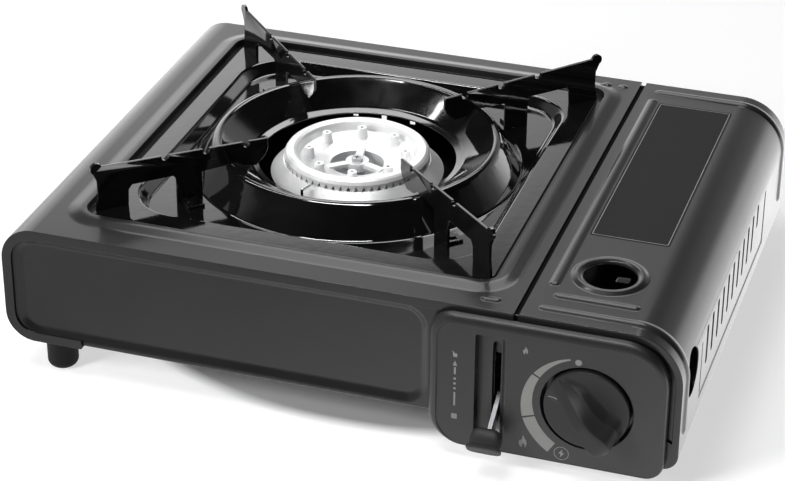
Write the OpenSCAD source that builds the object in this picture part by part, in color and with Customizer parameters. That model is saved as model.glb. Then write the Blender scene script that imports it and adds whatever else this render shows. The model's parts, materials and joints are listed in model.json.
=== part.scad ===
// Portable butane cassette stove.
// A pressed steel housing holds a lift-off drip tray with four pot supports, a cast ring
// burner fed by a mixing tube, a gas valve with a rotary igniter, and a cartridge bay under
// a hinged lid. +X is right, +Y is the rear, +Z is up, and the table is at z = 0.

/* [Housing] */
// Height of the housing underside above the table
under_z = 17; // [15:0.5:18]
// Height of the cartridge bay underside above the table
bay_z = 10; // [9:0.5:11]
// Steel sheet thickness
sheet = 1; // [0.8:0.1:1.1]
// Radius of the two long left edges
edge_r = 18; // [15:1:20]
// Width of the turned-in front and rear flanges
flange_w = 5; // [4:0.5:6]
// Top plate between the left wall and the tray well
margin_left = 33.1; // [32.5:0.1:36]
// Top plate between the tray well and the lid seam
margin_right = 16.5; // [15:0.5:22]
// Top plate between the front face and the tray well
margin_front = 23; // [21:0.5:30]
// Top plate between the tray well and the rear face
margin_rear = 17.5; // [16:0.5:25]
// Height of the collar pressed round the tray well
collar_h = 1.5; // [1:0.1:2]
// Depth of the shallow recess pressed into the front face
recess_d = 2.5; // [2:0.1:3]

/* [Drip tray] */
// Width of the drip tray
tray_w = 205; // [200:1:220]
// Depth of the drip tray
tray_d = 211.5; // [206:0.5:226]
// Gap between the tray and the wall of its well
tray_gap = 3.5; // [2.5:0.5:4]
// Width of the flat tray rim
rim_w = 12; // [11:0.5:13]
// Drop from the tray rim to the tray floor
tray_drop = 6; // [5:0.5:6.5]
// Radius of the raised ring of the tray
ring_r = 71.5; // [70:0.5:73]
// Height of the raised ring above the tray rim
ring_h = 9.4; // [8:0.2:10]
// Radius of the burner opening of the tray
mouth_r = 51; // [50:0.5:53]

/* [Pot supports] */
// Height of the support tips above the tray rim
support_h = 26; // [24:0.5:28]
// Thickness of the support blades
blade_t = 1.6; // [1.2:0.1:2]

/* [Burner] */
// Radius of the burner cap
cap_r = 37.6; // [37:0.2:38.4]
// Number of flame ports round the cap
ports = 60; // [40:1:72]
// Number of upright flame nozzles
nozzles = 8; // [6:1:9]
// Outer radius of the mixing tube
tube_r = 8.5; // [7.5:0.5:9]

/* [Controls] */
// Height of the knob axis above the bay underside
knob_rise = 29; // [28:0.5:30]
// Radius of the knob
knob_r = 21.2; // [20:0.2:22]
// Reach of the knob grip in front of the housing
knob_out = 22; // [21:0.5:26]
// How far the control panel stands in front of the housing
panel_out = 6; // [5.6:0.2:6.4]
// Angle of the locking lever below level, when it is down
lever_a = 33; // [30:1:34]

/* [Cartridge bay] */
// Diameter of the gas cartridge that the bay takes
cartridge_d = 67; // [66:0.5:69]
// Radius of the lid between its top and its right wall
lid_r = 25; // [23:1:28]
// Radius of the sight hole and of the side hole
sight_r = 12.8; // [11:0.2:13]
// Number of vent slots in the right wall of the lid
lid_slots = 11; // [8:1:12]

/* [Hidden] */
$fn = 64;

// Running clearances
slip = 0.05;
pin_slip = 0.1;
seat = 0.3;

// Overall size: the housing is laid round the tray, and the lid round the cartridge
well_x0 = margin_left;
well_x1 = well_x0 + tray_w + 2 * tray_gap;
well_y0 = margin_front;
well_y1 = well_y0 + tray_d + 2 * tray_gap;
seam_x = well_x1 + margin_right;
seam_gap = 1.8;
body_w = seam_x + cartridge_d + 12;
body_d = well_y1 + margin_rear;
top_z = bay_z + cartridge_d + 3;
front_y = -(body_d - knob_out) / 2;

// Stations through the sheet-metal stack
wall_y = sheet + 0.5;
lid_y = 0.2;
plate_z = under_z + sheet;
flap_x = 40;
part_x = seam_x - 1.1;
base_r = 1.5;
low_r = edge_r - 3;
well_r = 10;
land = 3;
ramp = 6;
ledge_w = 8;

// Tray and burner
tray_x0 = well_x0 + tray_gap;
tray_x1 = tray_x0 + tray_w;
tray_y0 = well_y0 + tray_gap;
tray_y1 = tray_y0 + tray_d;
rim_z = top_z - 1;
ledge_z = rim_z - sheet - seat;
floor_z = rim_z - tray_drop;
ring_z = rim_z + ring_h;
burner_x = (tray_x0 + tray_x1) / 2;
burner_y = (tray_y0 + tray_y1) / 2;
tip_r = 145.3 * tray_w / 205;
leg_r = min(tray_w, tray_d) / 2 * sqrt(2) - 1.5;
cap_z = top_z - 4.4;
cap_h = 5.8;
stand_z = 52;
cup_r = cap_r + 0.4;
drip_r = mouth_r - 6.2;
eye_r = 14;
tube_z = 58.5;

// Controls
knob_x = body_w - 43;
knob_z = bay_z + knob_rise;
cartridge_z = bay_z + sheet + cartridge_d / 2;
panel_x0 = body_w - 120;
panel_x1 = body_w - 5.7;
panel_z0 = bay_z - 4;
panel_z1 = top_z - 2.5;
panel_wall = 2;
panel_r = [17, 9, lid_r - 3, 12];
lever_x = knob_x - 44;
lever_y = 20;
lever_z = knob_z + 1;
lever_arm = 8;
lever_len = 46.5;
pivot_r = 2;
drive_r = 1.5;
barrel_y = 10.5;
barrel_r = 14;
barrel_end = 46;
guide_y = 47;
guide_travel = 2 * lever_arm * sin(lever_a);
cam_y = 6.5;
cam_t = 3;
cam_r0 = 9;
cam_lift = 5;
cam_sweep = 147;
cam_rest = 60;
piezo_y = 8;
plunger_r = 2.2;
spindle_r = 3;
dome_y = 25;
dome_z = knob_z + 2;
dome_r = 14.5;
dome_bolt_r = 12.3;

// Gas line: a straight axis from the burner to the valve outlet
outlet_x = knob_x - 22;
outlet_y = 26.3;
line_a = atan2(outlet_y - burner_y, outlet_x - burner_x);
line_l = norm([outlet_x - burner_x, outlet_y - burner_y]);
tube_in = cup_r + 0.5;
tube_l = line_l - 55;
jet_l = tube_l + 3.5;

// Lid
rib_h = 1;
rib_w = 6;
rib_r = (rib_w * rib_w / 4 + rib_h * rib_h) / (2 * rib_h);
hinge_r = 8;
hinge_x = body_w - hinge_r;
hinge_z = bay_z + hinge_r;
hinge_pin_r = 1.5;
sight_x = knob_x - 3.7;
sight_y = 47.7;

// ---------------------------------------------------------------- helpers

// Puts the stove's bounding box centre on the Z axis
module home() {
  translate([-(body_w + rib_h) / 2, front_y, 0]) children();
}

// Draws in the XZ plane, extruded to the rear from y0 by t
module facing(y0, t) {
  translate([0, y0 + t, 0]) rotate([90, 0, 0]) linear_extrude(t) children();
}

// Waste of one rounded corner at the origin
module corner_bite(r) {
  difference() {
    translate([-1, -1]) square(r + 1);
    translate([r, r]) circle(r);
  }
}

// Rectangle with four corner radii: near left, near right, far right, far left
module plate2d(x0, y0, x1, y1, r) {
  difference() {
    translate([x0, y0]) square([x1 - x0, y1 - y0]);
    if (r[0] > 0) translate([x0, y0]) corner_bite(r[0]);
    if (r[1] > 0) translate([x1, y0]) rotate(90) corner_bite(r[1]);
    if (r[2] > 0) translate([x1, y1]) rotate(180) corner_bite(r[2]);
    if (r[3] > 0) translate([x0, y1]) rotate(270) corner_bite(r[3]);
  }
}

// Sweeps a section round a rounded rectangle; the section's first axis points outward
module around(x0, y0, x1, y1, r, section) {
  sides = [
    [x1, y1 - r[2], y1 - r[2] - y0 - r[1], x1 - r[2], y1 - r[2], r[2]],
    [x0 + r[3], y1, x1 - r[2] - x0 - r[3], x0 + r[3], y1 - r[3], r[3]],
    [x0, y0 + r[0], y1 - r[3] - y0 - r[0], x0 + r[0], y0 + r[0], r[0]],
    [x1 - r[1], y0, x1 - r[1] - x0 - r[0], x1 - r[1], y0 + r[1], r[1]]
  ];
  for (i = [0:3]) {
    s = sides[i];
    translate([s[0], s[1], 0]) rotate([90, 0, 90 * i])
      linear_extrude(s[2]) polygon(section);
    translate([s[3], s[4], 0]) rotate([0, 0, 90 * i])
      rotate_extrude(angle = 90) translate([s[5], 0]) polygon(section);
  }
}

function unit(v) = v / norm(v);
function left_of(a, b) = let(d = unit(b - a)) [-d[1], d[0]];
function mitre(p, i) =
  let(a = i > 0 ? left_of(p[i - 1], p[i]) : left_of(p[0], p[1]),
      b = i < len(p) - 1 ? left_of(p[i], p[i + 1]) : a)
  (a + b) / (1 + a * b);
// Closed section of a sheet whose one face follows the points, t thick to the left
function sheet_section(p, t) =
  concat(p, [for (i = [len(p) - 1:-1:0]) p[i] + t * mitre(p, i)]);

// Round bar between two points
module bar(a, b, r) {
  d = b - a;
  translate(a) rotate([0, acos(d[2] / norm(d)), atan2(d[1], d[0])]) cylinder(h = norm(d), r = r);
}

// Low pressed bead along points in the top's plane, its crest rib_h above z
module pressed_bead(points, z) {
  axis_z = z + rib_h - rib_r;
  for (i = [0:len(points) - 2])
    bar([points[i][0], points[i][1], axis_z], [points[i + 1][0], points[i + 1][1], axis_z], rib_r);
  for (p = points) translate([p[0], p[1], axis_z]) sphere(rib_r);
}

// Pan-head screw pointing down from its head
module screw(head_r, head_h, shank_r, shank_l) {
  translate([0, 0, -shank_l]) cylinder(h = shank_l + 0.5, r = shank_r);
  difference() {
    cylinder(h = head_h, r = head_r);
    for (a = [0, 90])
      rotate(a) translate([-head_r * 0.6, -0.4, head_h * 0.5]) cube([head_r * 1.2, 0.8, head_h]);
  }
}

// Places things on the gas line, with local X along it from the burner
module gas_line() {
  translate([burner_x, burner_y, tube_z]) rotate([0, 0, line_a]) children();
}

// Cylinder along the gas line
module line_rod(from, to, r) {
  gas_line() translate([from, 0, 0]) rotate([0, 90, 0]) cylinder(h = to - from, r = r);
}

// Stations of the screws, feet and pins
feet_left = [[24.6, 10.5], [24.6, body_d - 10.5]];
feet_right = [[knob_x + 12, 17.5], [knob_x + 12, body_d - 17.5]];
shell_screw_y = [body_d * 0.25, body_d * 0.5, body_d * 0.75];
panel_bosses = [
  [panel_x0 + 9, panel_z0 + 23], [panel_x0 + 9, panel_z1 - 9],
  [knob_x + 20, panel_z0 + 12], [knob_x + 24, panel_z1 - 13]
];
valve_spacers = [[knob_x - 12, knob_z + 20], [knob_x + 11, knob_z - 17]];
guide_pin_x = [knob_x - 18, knob_x + 18];
guide_pin_z = knob_z - 7;

// ---------------------------------------------------------------- housing

// Front view of the housing, shrunk by an inset; open towards the seam
module shell_outline(inset) {
  plate2d(inset, under_z + inset, seam_x - seam_gap / 2, top_z - inset, [low_r - inset, 0, 0, edge_r - inset]);
}

// Front view of the shell's top, left wall and lower flap, w wide
module shell_band(w) {
  difference() {
    shell_outline(0);
    shell_outline(w);
    translate([flap_x, under_z - 1]) square([seam_x, w + 2]);
  }
}

module well_collar() {
  collar = [
    [land + ramp + 1, top_z], [land + ramp, top_z], [land, top_z + collar_h], [0, top_z + collar_h],
    [0, ledge_z], [-ledge_w, ledge_z]
  ];
  around(well_x0, well_y0, well_x1, well_y1, [1, 1, 1, 1] * well_r, sheet_section(collar, sheet));
}

module housing_shell() color("#3a3b3d") home() {
  difference() {
    union() {
      facing(0, body_d) shell_band(sheet);
      for (y = [0, body_d - sheet]) facing(y, sheet) shell_band(flange_w);
    }
    out = land + ramp;
    translate([0, 0, top_z - 2 * sheet]) linear_extrude(4 * sheet)
      plate2d(well_x0 - out, well_y0 - out, well_x1 + out, well_y1 + out, [1, 1, 1, 1] * (well_r + out));
    for (y = shell_screw_y) translate([27, y, under_z - 1]) cylinder(h = 3, r = 1.6);
    for (p = feet_left) translate([p[0], p[1], under_z - 1]) cylinder(h = 3, r = 1.6);
    for (i = [0:8])
      translate([-1, body_d / 2 - 64 + 16 * i, under_z + 18]) cube([3, 3, 26]);
  }
  well_collar();
  intersection() {
    union() {
      pressed_bead([[well_x1 - 0.8, 9.4], [well_x1 + 4, 9.4]], top_z);
      pressed_bead([[well_x1 - 4.4, body_d - 12], [well_x1 - 2.6, body_d - 10], [well_x1 + 6.5, body_d - 10]], top_z);
    }
    translate([well_x1 - 12, 0, top_z - sheet / 2]) cube([24, body_d, 4]);
  }
}

// Front view of the base in the bay, clear of the lid's swing
module bay_front2d(inset) {
  difference() {
    plate2d(part_x - 2, bay_z, body_w - inset, top_z - inset, [3, 0, lid_r - inset, 0]);
    translate([hinge_x - hinge_r - 0.5, bay_z - 1]) square([hinge_r * 3, hinge_r + 1.3]);
  }
  translate([hinge_x, hinge_z]) circle(hinge_r - 1.5);
}

// The recessed field of the front face
module front_field(inset) {
  plate2d(field[0] + inset, field[1] + inset, field[2] - inset, field[3] - inset, [1, 1, 1, 1] * (12 - inset));
}
field = [flange_w + 0.8, under_z + 3.5, panel_x0 - 2, top_z - flange_w - 0.8];
field_ramp = 3.5;

module base_end_wall() {
  facing(0, sheet) difference() {
    union() {
      difference() {
        shell_outline(sheet + seat);
        translate([0, under_z]) square([body_w, sheet]);
        translate([edge_r + 1, under_z]) square([seam_x, sheet + base_r]);
      }
      bay_front2d(sheet + seat);
    }
    translate([hinge_x, hinge_z]) circle(hinge_pin_r + 0.02);
  }
}

module base_pan() color("#3d3e40") home() {
  difference() {
    union() {
      translate([edge_r, 0, 0]) rotate([90, 0, 90]) linear_extrude(part_x - edge_r) difference() {
        plate2d(wall_y, plate_z, body_d - wall_y, plate_z + 12, [base_r, base_r, 0, 0]);
        plate2d(wall_y + sheet, plate_z + sheet, body_d - wall_y - sheet, plate_z + 13,
                [base_r - sheet, base_r - sheet, 0, 0]);
      }
      translate([0, wall_y, 0]) base_end_wall();
      translate([0, body_d - wall_y - sheet, 0]) base_end_wall();
    }
    facing(wall_y - 1, sheet + 2) front_field(0);
    facing(wall_y - 1, sheet + 2) {
      translate([knob_x, knob_z]) circle(7);
      translate([lever_x - pivot_r, plate_z + 5]) square([2 * pivot_r, 2 * (lever_z - plate_z - 5)]);
      for (p = panel_bosses) translate(p) circle(1.5);
      for (p = valve_spacers) translate(p) circle(1.6);
    }
    for (i = [0:9])
      translate([60 + 17 * i, body_d - 5, plate_z + 16]) cube([3, 8, 26]);
    for (i = [0:3])
      translate([part_x + 20 + 12 * i, body_d - 5, bay_z + 20]) cube([3, 8, 30]);
    for (y = shell_screw_y) translate([27, y, plate_z - 1]) cylinder(h = 3, r = 1.6);
    for (p = feet_left) translate([p[0], p[1], plate_z - 1]) cylinder(h = 3, r = 1.6);
    for (s = [-1, 1]) translate([burner_x + s * 36, burner_y, plate_z - 1]) cylinder(h = 3, r = 1.6);
    for (i = [0:5], j = [0:1])
      translate([burner_x - 62 + 22 * i, burner_y - 52 + 96 * j, plate_z - 1]) cube([4, 18, 3]);
  }
  translate([0, wall_y, 0]) rotate([90, 0, 0])
    around(field[0], field[1], field[2], field[3], [12, 12, 12, 12],
           sheet_section([[1, 0], [0, 0], [-field_ramp, -recess_d], [-field_ramp - 1, -recess_d]], sheet));
  facing(wall_y + recess_d, sheet) front_field(field_ramp);
}

module bay_partition() color("#8b8d8f") home() {
  top = top_z - sheet - seat;
  difference() {
    union() {
      translate([part_x, wall_y + sheet, bay_z]) cube([sheet, body_d - 2 * wall_y - 2 * sheet, top - bay_z]);
      translate([part_x - 6, wall_y + sheet, top - sheet])
        cube([14, body_d - 2 * wall_y - 2 * sheet, sheet]);
    }
    translate([part_x - 1, outlet_y + 4, tube_z - 6.5]) cube([3, 20, 13]);
    translate([part_x - 1, guide_y - 3, knob_z + 3]) cube([3, guide_travel + 8, 12]);
    translate([part_x - 1, 38, knob_z]) rotate([0, 90, 0]) cylinder(h = 3, r = 2.5);
    for (i = [0:7]) translate([part_x - 1, 80 + 20 * i, bay_z + 22]) cube([3, 10, 34]);
  }
}

module bay_pan() color("#4a4b4d") home() {
  x0 = part_x + sheet;
  x1 = hinge_x - hinge_r - 0.5;
  y0 = wall_y + sheet;
  difference() {
    translate([0, y0, 0]) facing(0, body_d - 2 * y0) difference() {
      plate2d(x0, bay_z, x1, bay_z + 20, [2, 2, 0, 0]);
      plate2d(x0 + sheet, bay_z + sheet, x1 - sheet, bay_z + 21, [1, 1, 0, 0]);
      translate([(x0 + x1) / 2, bay_z + hinge_r + 2]) square([x1, 20]);
    }
    for (i = [0:3]) translate([seam_x + 11, 80 + 40 * i, bay_z - 1]) cube([7, 5.5, 3]);
    for (i = [0:3]) translate([knob_x + 10, 80 + 40 * i, bay_z - 1]) cube([7, 5.5, 3]);
    for (p = feet_right) translate([p[0], p[1], bay_z - 1]) cylinder(h = 3, r = 1.6);
  }
}

// One rubber foot with a sunk screw hole
module foot(h, sink) {
  difference() {
    rotate_extrude() plate2d(0, 0, 7.8, h, [0, 4, 0, 0]);
    translate([0, 0, -1]) cylinder(h = h + 2, r = 1.6);
    translate([0, 0, -1]) cylinder(h = sink + 1, r = 2.8);
  }
}

module left_feet() color("#161616") home() {
  for (p = feet_left) translate([p[0], p[1], 0]) foot(under_z, under_z - 8);
}

module right_feet() color("#161616") home() {
  for (p = feet_right) translate([p[0], p[1], 0]) foot(bay_z, bay_z - 4);
}

module feet_screws() color("#b9bbbd") home() {
  for (p = feet_left) translate([p[0], p[1], under_z - 8]) rotate([180, 0, 0]) screw(2.6, 2, 1.5, 10 + sheet);
  for (p = feet_right) translate([p[0], p[1], bay_z - 4]) rotate([180, 0, 0]) screw(2.6, 2, 1.5, 4.5 + sheet);
}

module shell_screws() color("#b9bbbd") home() {
  for (y = shell_screw_y) translate([27, y, under_z]) rotate([180, 0, 0]) screw(3, 1.6, 1.5, 4 + sheet);
}

// ---------------------------------------------------------------- control panel

module panel_outline(inset) {
  plate2d(panel_x0 + inset, panel_z0 + inset, panel_x1 - inset, panel_z1 - inset,
          [for (r = panel_r) r - inset]);
}

panel_edge = 4;
channel = [lever_x - 10, knob_z - 27, lever_x + 4.5, knob_z + 30];

module control_panel() color("#3b3b3c") home() {
  back = -0.3;
  difference() {
    union() {
      facing(-panel_out + 0.8, panel_out + back - 0.8) panel_outline(panel_edge);
      translate([0, back, 0]) rotate([90, 0, 0])
        around(panel_x0, panel_z0, panel_x1, panel_z1, panel_r, panel_bevel());
    }
    facing(-panel_out + 0.8 + panel_wall, panel_out) difference() {
      panel_outline(panel_edge);
      translate([channel[0] - 2, channel[1] - 2])
        square([channel[2] - channel[0] + 4, channel[3] - channel[1] + 4]);
      translate([knob_x, knob_z]) circle(knob_r + 0.6 + panel_wall);
    }
    facing(-panel_out - 1, 3.8) translate([channel[0], channel[1]])
      square([channel[2] - channel[0], channel[3] - channel[1]]);
    facing(-panel_out, panel_out + 1) {
      plate2d(lever_x - 2.15, knob_z - 26, lever_x + 2.15, knob_z + 26.5, [1, 1, 1, 1] * 2);
      translate([knob_x, knob_z]) circle(knob_r + 0.6);
    }
    facing(-1.2, 3) translate([channel[0] + 2, channel[1]]) square([channel[2] - channel[0] - 3, 57]);
  }
  for (p = panel_bosses) facing(-panel_out + 2, panel_out - 2 + wall_y) translate(p) difference() {
    circle(3.6);
    circle(1.3);
  }
}

// Rounded edge of the panel, with its inner step down to the face
function panel_bevel() = concat(
  [[0, 0]],
  [for (a = [0:15:90]) [-panel_edge + panel_edge * cos(a), panel_out - 0.3 - panel_edge * (1 - sin(a))]],
  [[-panel_edge - 0.6, panel_out - 0.3], [-panel_edge - 0.6, 0]]
);

module panel_screws() color("#b9bbbd") home() {
  for (p = panel_bosses)
    translate([p[0], wall_y + sheet, p[1]]) rotate([-90, 0, 0]) screw(2.8, 1.8, 1.25, 5);
}

// ---------------------------------------------------------------- drip tray

ring_foot = 85;
tray_hole_r = 2;
rivet_r = 93.8;
tab_side = 5;

module drip_tray() color("#151515") home() {
  inner_r = 26;
  in = rim_w;
  slope = [[0, rim_z], [-4, floor_z], [-5, floor_z]];
  floor_in = rim_w + 4;
  ring = [
    [ring_foot + 1, floor_z], [ring_foot, floor_z], [ring_r + 3, ring_z - 1.6], [ring_r + 1.2, ring_z], [ring_r - 1.2, ring_z],
    [ring_r - 3.5, ring_z - 2], [mouth_r + 4, ring_z - 11], [mouth_r, ring_z - 12.2]
  ];
  difference() {
    union() {
      translate([0, 0, rim_z - sheet]) linear_extrude(sheet) difference() {
        plate2d(tray_x0, tray_y0, tray_x1, tray_y1, [1, 1, 1, 1] * 8);
        plate2d(tray_x0 + in, tray_y0 + in, tray_x1 - in, tray_y1 - in, [1, 1, 1, 1] * inner_r);
      }
      around(tray_x0 + in, tray_y0 + in, tray_x1 - in, tray_y1 - in, [1, 1, 1, 1] * inner_r,
             sheet_section(slope, sheet));
      translate([0, 0, floor_z - sheet]) linear_extrude(sheet) difference() {
        plate2d(tray_x0 + floor_in, tray_y0 + floor_in, tray_x1 - floor_in, tray_y1 - floor_in,
                [1, 1, 1, 1] * (inner_r - 4));
        translate([burner_x, burner_y]) circle(ring_foot);
      }
      translate([burner_x, burner_y, 0]) rotate_extrude() polygon(sheet_section(ring, sheet));
    }
    for (a = [45:90:315])
      translate([burner_x, burner_y, 0]) rotate(a) translate([rivet_r, tab_side, floor_z - 2])
        cylinder(h = 4, r = tray_hole_r);
  }
}

// Side view of a pot support: distance from the burner axis, height
module support_profile() {
  top = rim_z + support_h;
  foot_r = rivet_r + 6.7;
  difference() {
    union() {
      polygon([
        [leg_r, rim_z], [leg_r - 1.6, rim_z + 9], [leg_r - 1.4, rim_z + 16], [tip_r - 1.2, top - 5],
        [tip_r - 6, top - 2.2], [50.5, rim_z + support_h - 6.4], [50.3, rim_z + 14],
        [52, rim_z + 10.5], [57, rim_z + 5.8], [64.5, rim_z + 6.8], [ring_r - 3.4, ring_z + 0.4],
        [ring_r - 1.2, ring_z], [ring_r + 1.2, ring_z], [foot_r - 13.8, ring_z - 0.4],
        [foot_r - 13.8, floor_z], [foot_r, floor_z], [foot_r, rim_z + 7.6], [foot_r + 1.6, rim_z + 10],
        [leg_r - 19.5, rim_z + 10.4], [leg_r - 17.6, rim_z + 8], [leg_r - 17.2, rim_z]
      ]);
      translate([tip_r - 3, top - 3]) circle(3);
    }
    for (p = [[62.4, 17.7], [84.1, 18.9], [106, 20.3]])
      translate([p[0], rim_z + p[1] + 1.4]) circle(2);
  }
}

module pan_support(a) color("#131313") home() {
  translate([burner_x, burner_y, 0]) rotate(a) {
    rotate([90, 0, 0]) translate([0, 0, -blade_t / 2]) linear_extrude(blade_t) support_profile();
    difference() {
      translate([rivet_r - 4.5, 0, floor_z]) cube([9, tab_side + 4.5, blade_t]);
      translate([rivet_r, tab_side, floor_z - 1]) cylinder(h = blade_t + 2, r = tray_hole_r);
    }
  }
}

module support_rivets() color("#1b1b1b") home() {
  for (a = [45:90:315])
    translate([burner_x, burner_y, 0]) rotate(a) translate([rivet_r, tab_side, floor_z - sheet]) {
      translate([0, 0, -1.2]) cylinder(h = 1.2, r = 3);
      cylinder(h = sheet + blade_t, r = tray_hole_r - slip);
      translate([0, 0, sheet + blade_t]) cylinder(h = 1.2, r1 = 3.4, r2 = 2.2);
    }
}

// ---------------------------------------------------------------- burner

module burner_base() color("#a9abad") home() {
  wall = 2.4;
  difference() {
    union() {
      translate([burner_x, burner_y, 0]) rotate_extrude() polygon([
        [eye_r, stand_z], [cup_r, stand_z], [cup_r, cap_z - 2], [drip_r - 0.5, cap_z - 7.6],
        [drip_r, cap_z - 6.4], [cup_r + 0.2, cap_z], [cup_r - wall, cap_z],
        [cup_r - wall, stand_z + wall], [eye_r + 2.2, stand_z + wall], [eye_r + 2.2, cap_z - 3.6],
        [eye_r, cap_z - 3.6]
      ]);
      line_rod(cup_r - 1, cup_r + 8, tube_r + 2);
    }
    line_rod(tube_in, cup_r + 9, tube_r + slip);
    line_rod(cup_r - 4, cup_r + 9, tube_r - 1.5);
    for (s = [-1, 1]) translate([burner_x + s * 24, burner_y, stand_z - 1]) cylinder(h = 5, r = 1.3);
  }
}

module burner_cap() color("#c9cbcc") home() translate([burner_x, burner_y, 0]) {
  t = 2;
  inner = cap_r - 6.8;
  difference() {
    rotate_extrude() polygon([
      [cap_r - 2.4, cap_z], [cap_r, cap_z], [cap_r, cap_z + 3.4], [cap_r - 1, cap_z + 5],
      [cap_r - 2.2, cap_z + cap_h], [inner + 2, cap_z + cap_h], [inner + 0.6, cap_z + cap_h - 0.6],
      [inner - 0.4, cap_z + cap_h - 2], [inner - 1.4, cap_z + 1], [eye_r + 2, cap_z - 2.6],
      [eye_r, cap_z - 3], [eye_r, cap_z - 3.6], [eye_r + 2.4, cap_z - 3.6],
      [inner - 0.6, cap_z - 0.4], [inner + 1.4, cap_z + 3], [cap_r - 2.8, cap_z + 3.4]
    ]);
    for (i = [0:ports - 1])
      rotate(i * 360 / ports) translate([cap_r - 4, 0, cap_z]) rotate([90, 0, 90])
        linear_extrude(6) polygon([[-1.1, -0.1], [1.1, -0.1], [0, 2.6]]);
    for (i = [0:nozzles - 1]) rotate(13 + i * 360 / nozzles) translate([25, 0, cap_z - 6])
      cylinder(h = 16, r = 0.9);
  }
  for (i = [0:nozzles - 1])
    rotate(13 + i * 360 / nozzles) translate([25, 0, cap_z - 0.9]) difference() {
      cylinder(h = 6, r1 = 3, r2 = 2.3);
      translate([0, 0, -1]) cylinder(h = 8, r = 0.9);
    }
  difference() {
    union() {
      translate([0, 0, cap_z - 5.6]) cylinder(h = 4.2, r = 6);
      for (a = [100, 220, 340]) rotate(a) translate([4, -2, cap_z - 3.6]) cube([eye_r - 2, 4, 2]);
    }
    translate([0, 0, cap_z - 8]) cylinder(h = 10, r = 1.6);
  }
}

module burner_cap_screw() color("#b9bbbd") home() {
  translate([burner_x, burner_y, cap_z - 1.4]) screw(3, 1.8, 1.5, 12);
}

module burner_stud() color("#9c9ea0") home() {
  translate([burner_x, burner_y, stand_z]) difference() {
    cylinder(h = cap_z - 5.6 - stand_z, r = 4);
    translate([0, 0, 4]) cylinder(h = 40, r = 1.55);
  }
}

module burner_bracket() color("#8b8d8f") home() {
  t = 1.2;
  half = 30;
  foot_l = 10;
  translate([burner_x, burner_y, 0]) difference() {
    union() {
      translate([-half, -13, stand_z - t]) cube([2 * half, 26, t]);
      for (s = [-1, 1]) {
        translate([s * (half - t / 2) - t / 2, -13, plate_z + sheet])
          cube([t, 26, stand_z - plate_z - sheet]);
        translate([s * (half + foot_l / 2 - t / 2) - foot_l / 2 - t / 2, -13, plate_z + sheet])
          cube([foot_l + t, 26, t]);
      }
    }
    for (s = [-1, 1]) {
      translate([s * 36, 0, plate_z]) cylinder(h = 4, r = 1.6);
      translate([s * 24, 0, stand_z - 3]) cylinder(h = 4, r = 1.6);
      translate([s * half - 3, -6, plate_z + 10]) cube([6, 12, 14]);
    }
  }
}

module bracket_screws() color("#b9bbbd") home() {
  for (s = [-1, 1]) {
    translate([burner_x + s * 36, burner_y, plate_z + sheet + 1.2]) screw(3, 1.6, 1.5, 4);
    translate([burner_x + s * 24, burner_y, stand_z - 1.2]) rotate([180, 0, 0]) screw(2.8, 1.6, 1.25, 4);
  }
}

// ---------------------------------------------------------------- gas line

module mixing_tube() color("#a4a6a8") home() {
  wall = 1.2;
  difference() {
    union() {
      line_rod(tube_in, tube_l, tube_r);
      gas_line() translate([tube_l - 10, 0, 0]) rotate([0, 90, 0]) cylinder(h = 10, r1 = tube_r, r2 = 12);
    }
    line_rod(tube_in - 1, tube_l, tube_r - wall);
    gas_line() translate([tube_l - 10, 0, 0]) rotate([0, 90, 0])
      cylinder(h = 10.01, r1 = tube_r - wall, r2 = 12 - wall);
  }
}

module air_shutter() color("#b0b2b4") home() {
  cup_in = 12.2;
  cup_l = 14;
  difference() {
    line_rod(jet_l - cup_l, jet_l + 1.5, cup_in + 1);
    line_rod(jet_l - cup_l - 1, jet_l, cup_in);
    line_rod(jet_l - 1, jet_l + 2, 3 + slip);
    for (a = [0:90:270]) gas_line() rotate([a, 0, 0]) translate([jet_l - 9.5, -5, 8]) cube([8, 10, 8]);
  }
}

module gas_jet() color("#c8a45a") home() {
  difference() {
    union() {
      line_rod(jet_l - 4, jet_l + 2, 3);
      gas_line() translate([jet_l - 10, 0, 0]) rotate([0, 90, 0]) cylinder(h = 6, r1 = 1.4, r2 = 3);
      gas_line() translate([jet_l + 1.5, 0, 0]) rotate([0, 90, 0]) cylinder(h = 6, r = 5.2, $fn = 6);
    }
    line_rod(jet_l - 8, jet_l + 3, 1);
    line_rod(jet_l + 3, jet_l + 8, 2.5 + 0.02);
  }
}

module gas_pipe() color("#b87a4b") home() {
  difference() {
    line_rod(jet_l + 3.2, line_l + 0.5, 2.5);
    line_rod(jet_l + 2, line_l + 2, 1.7);
  }
}

// ---------------------------------------------------------------- valve and regulator

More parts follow.
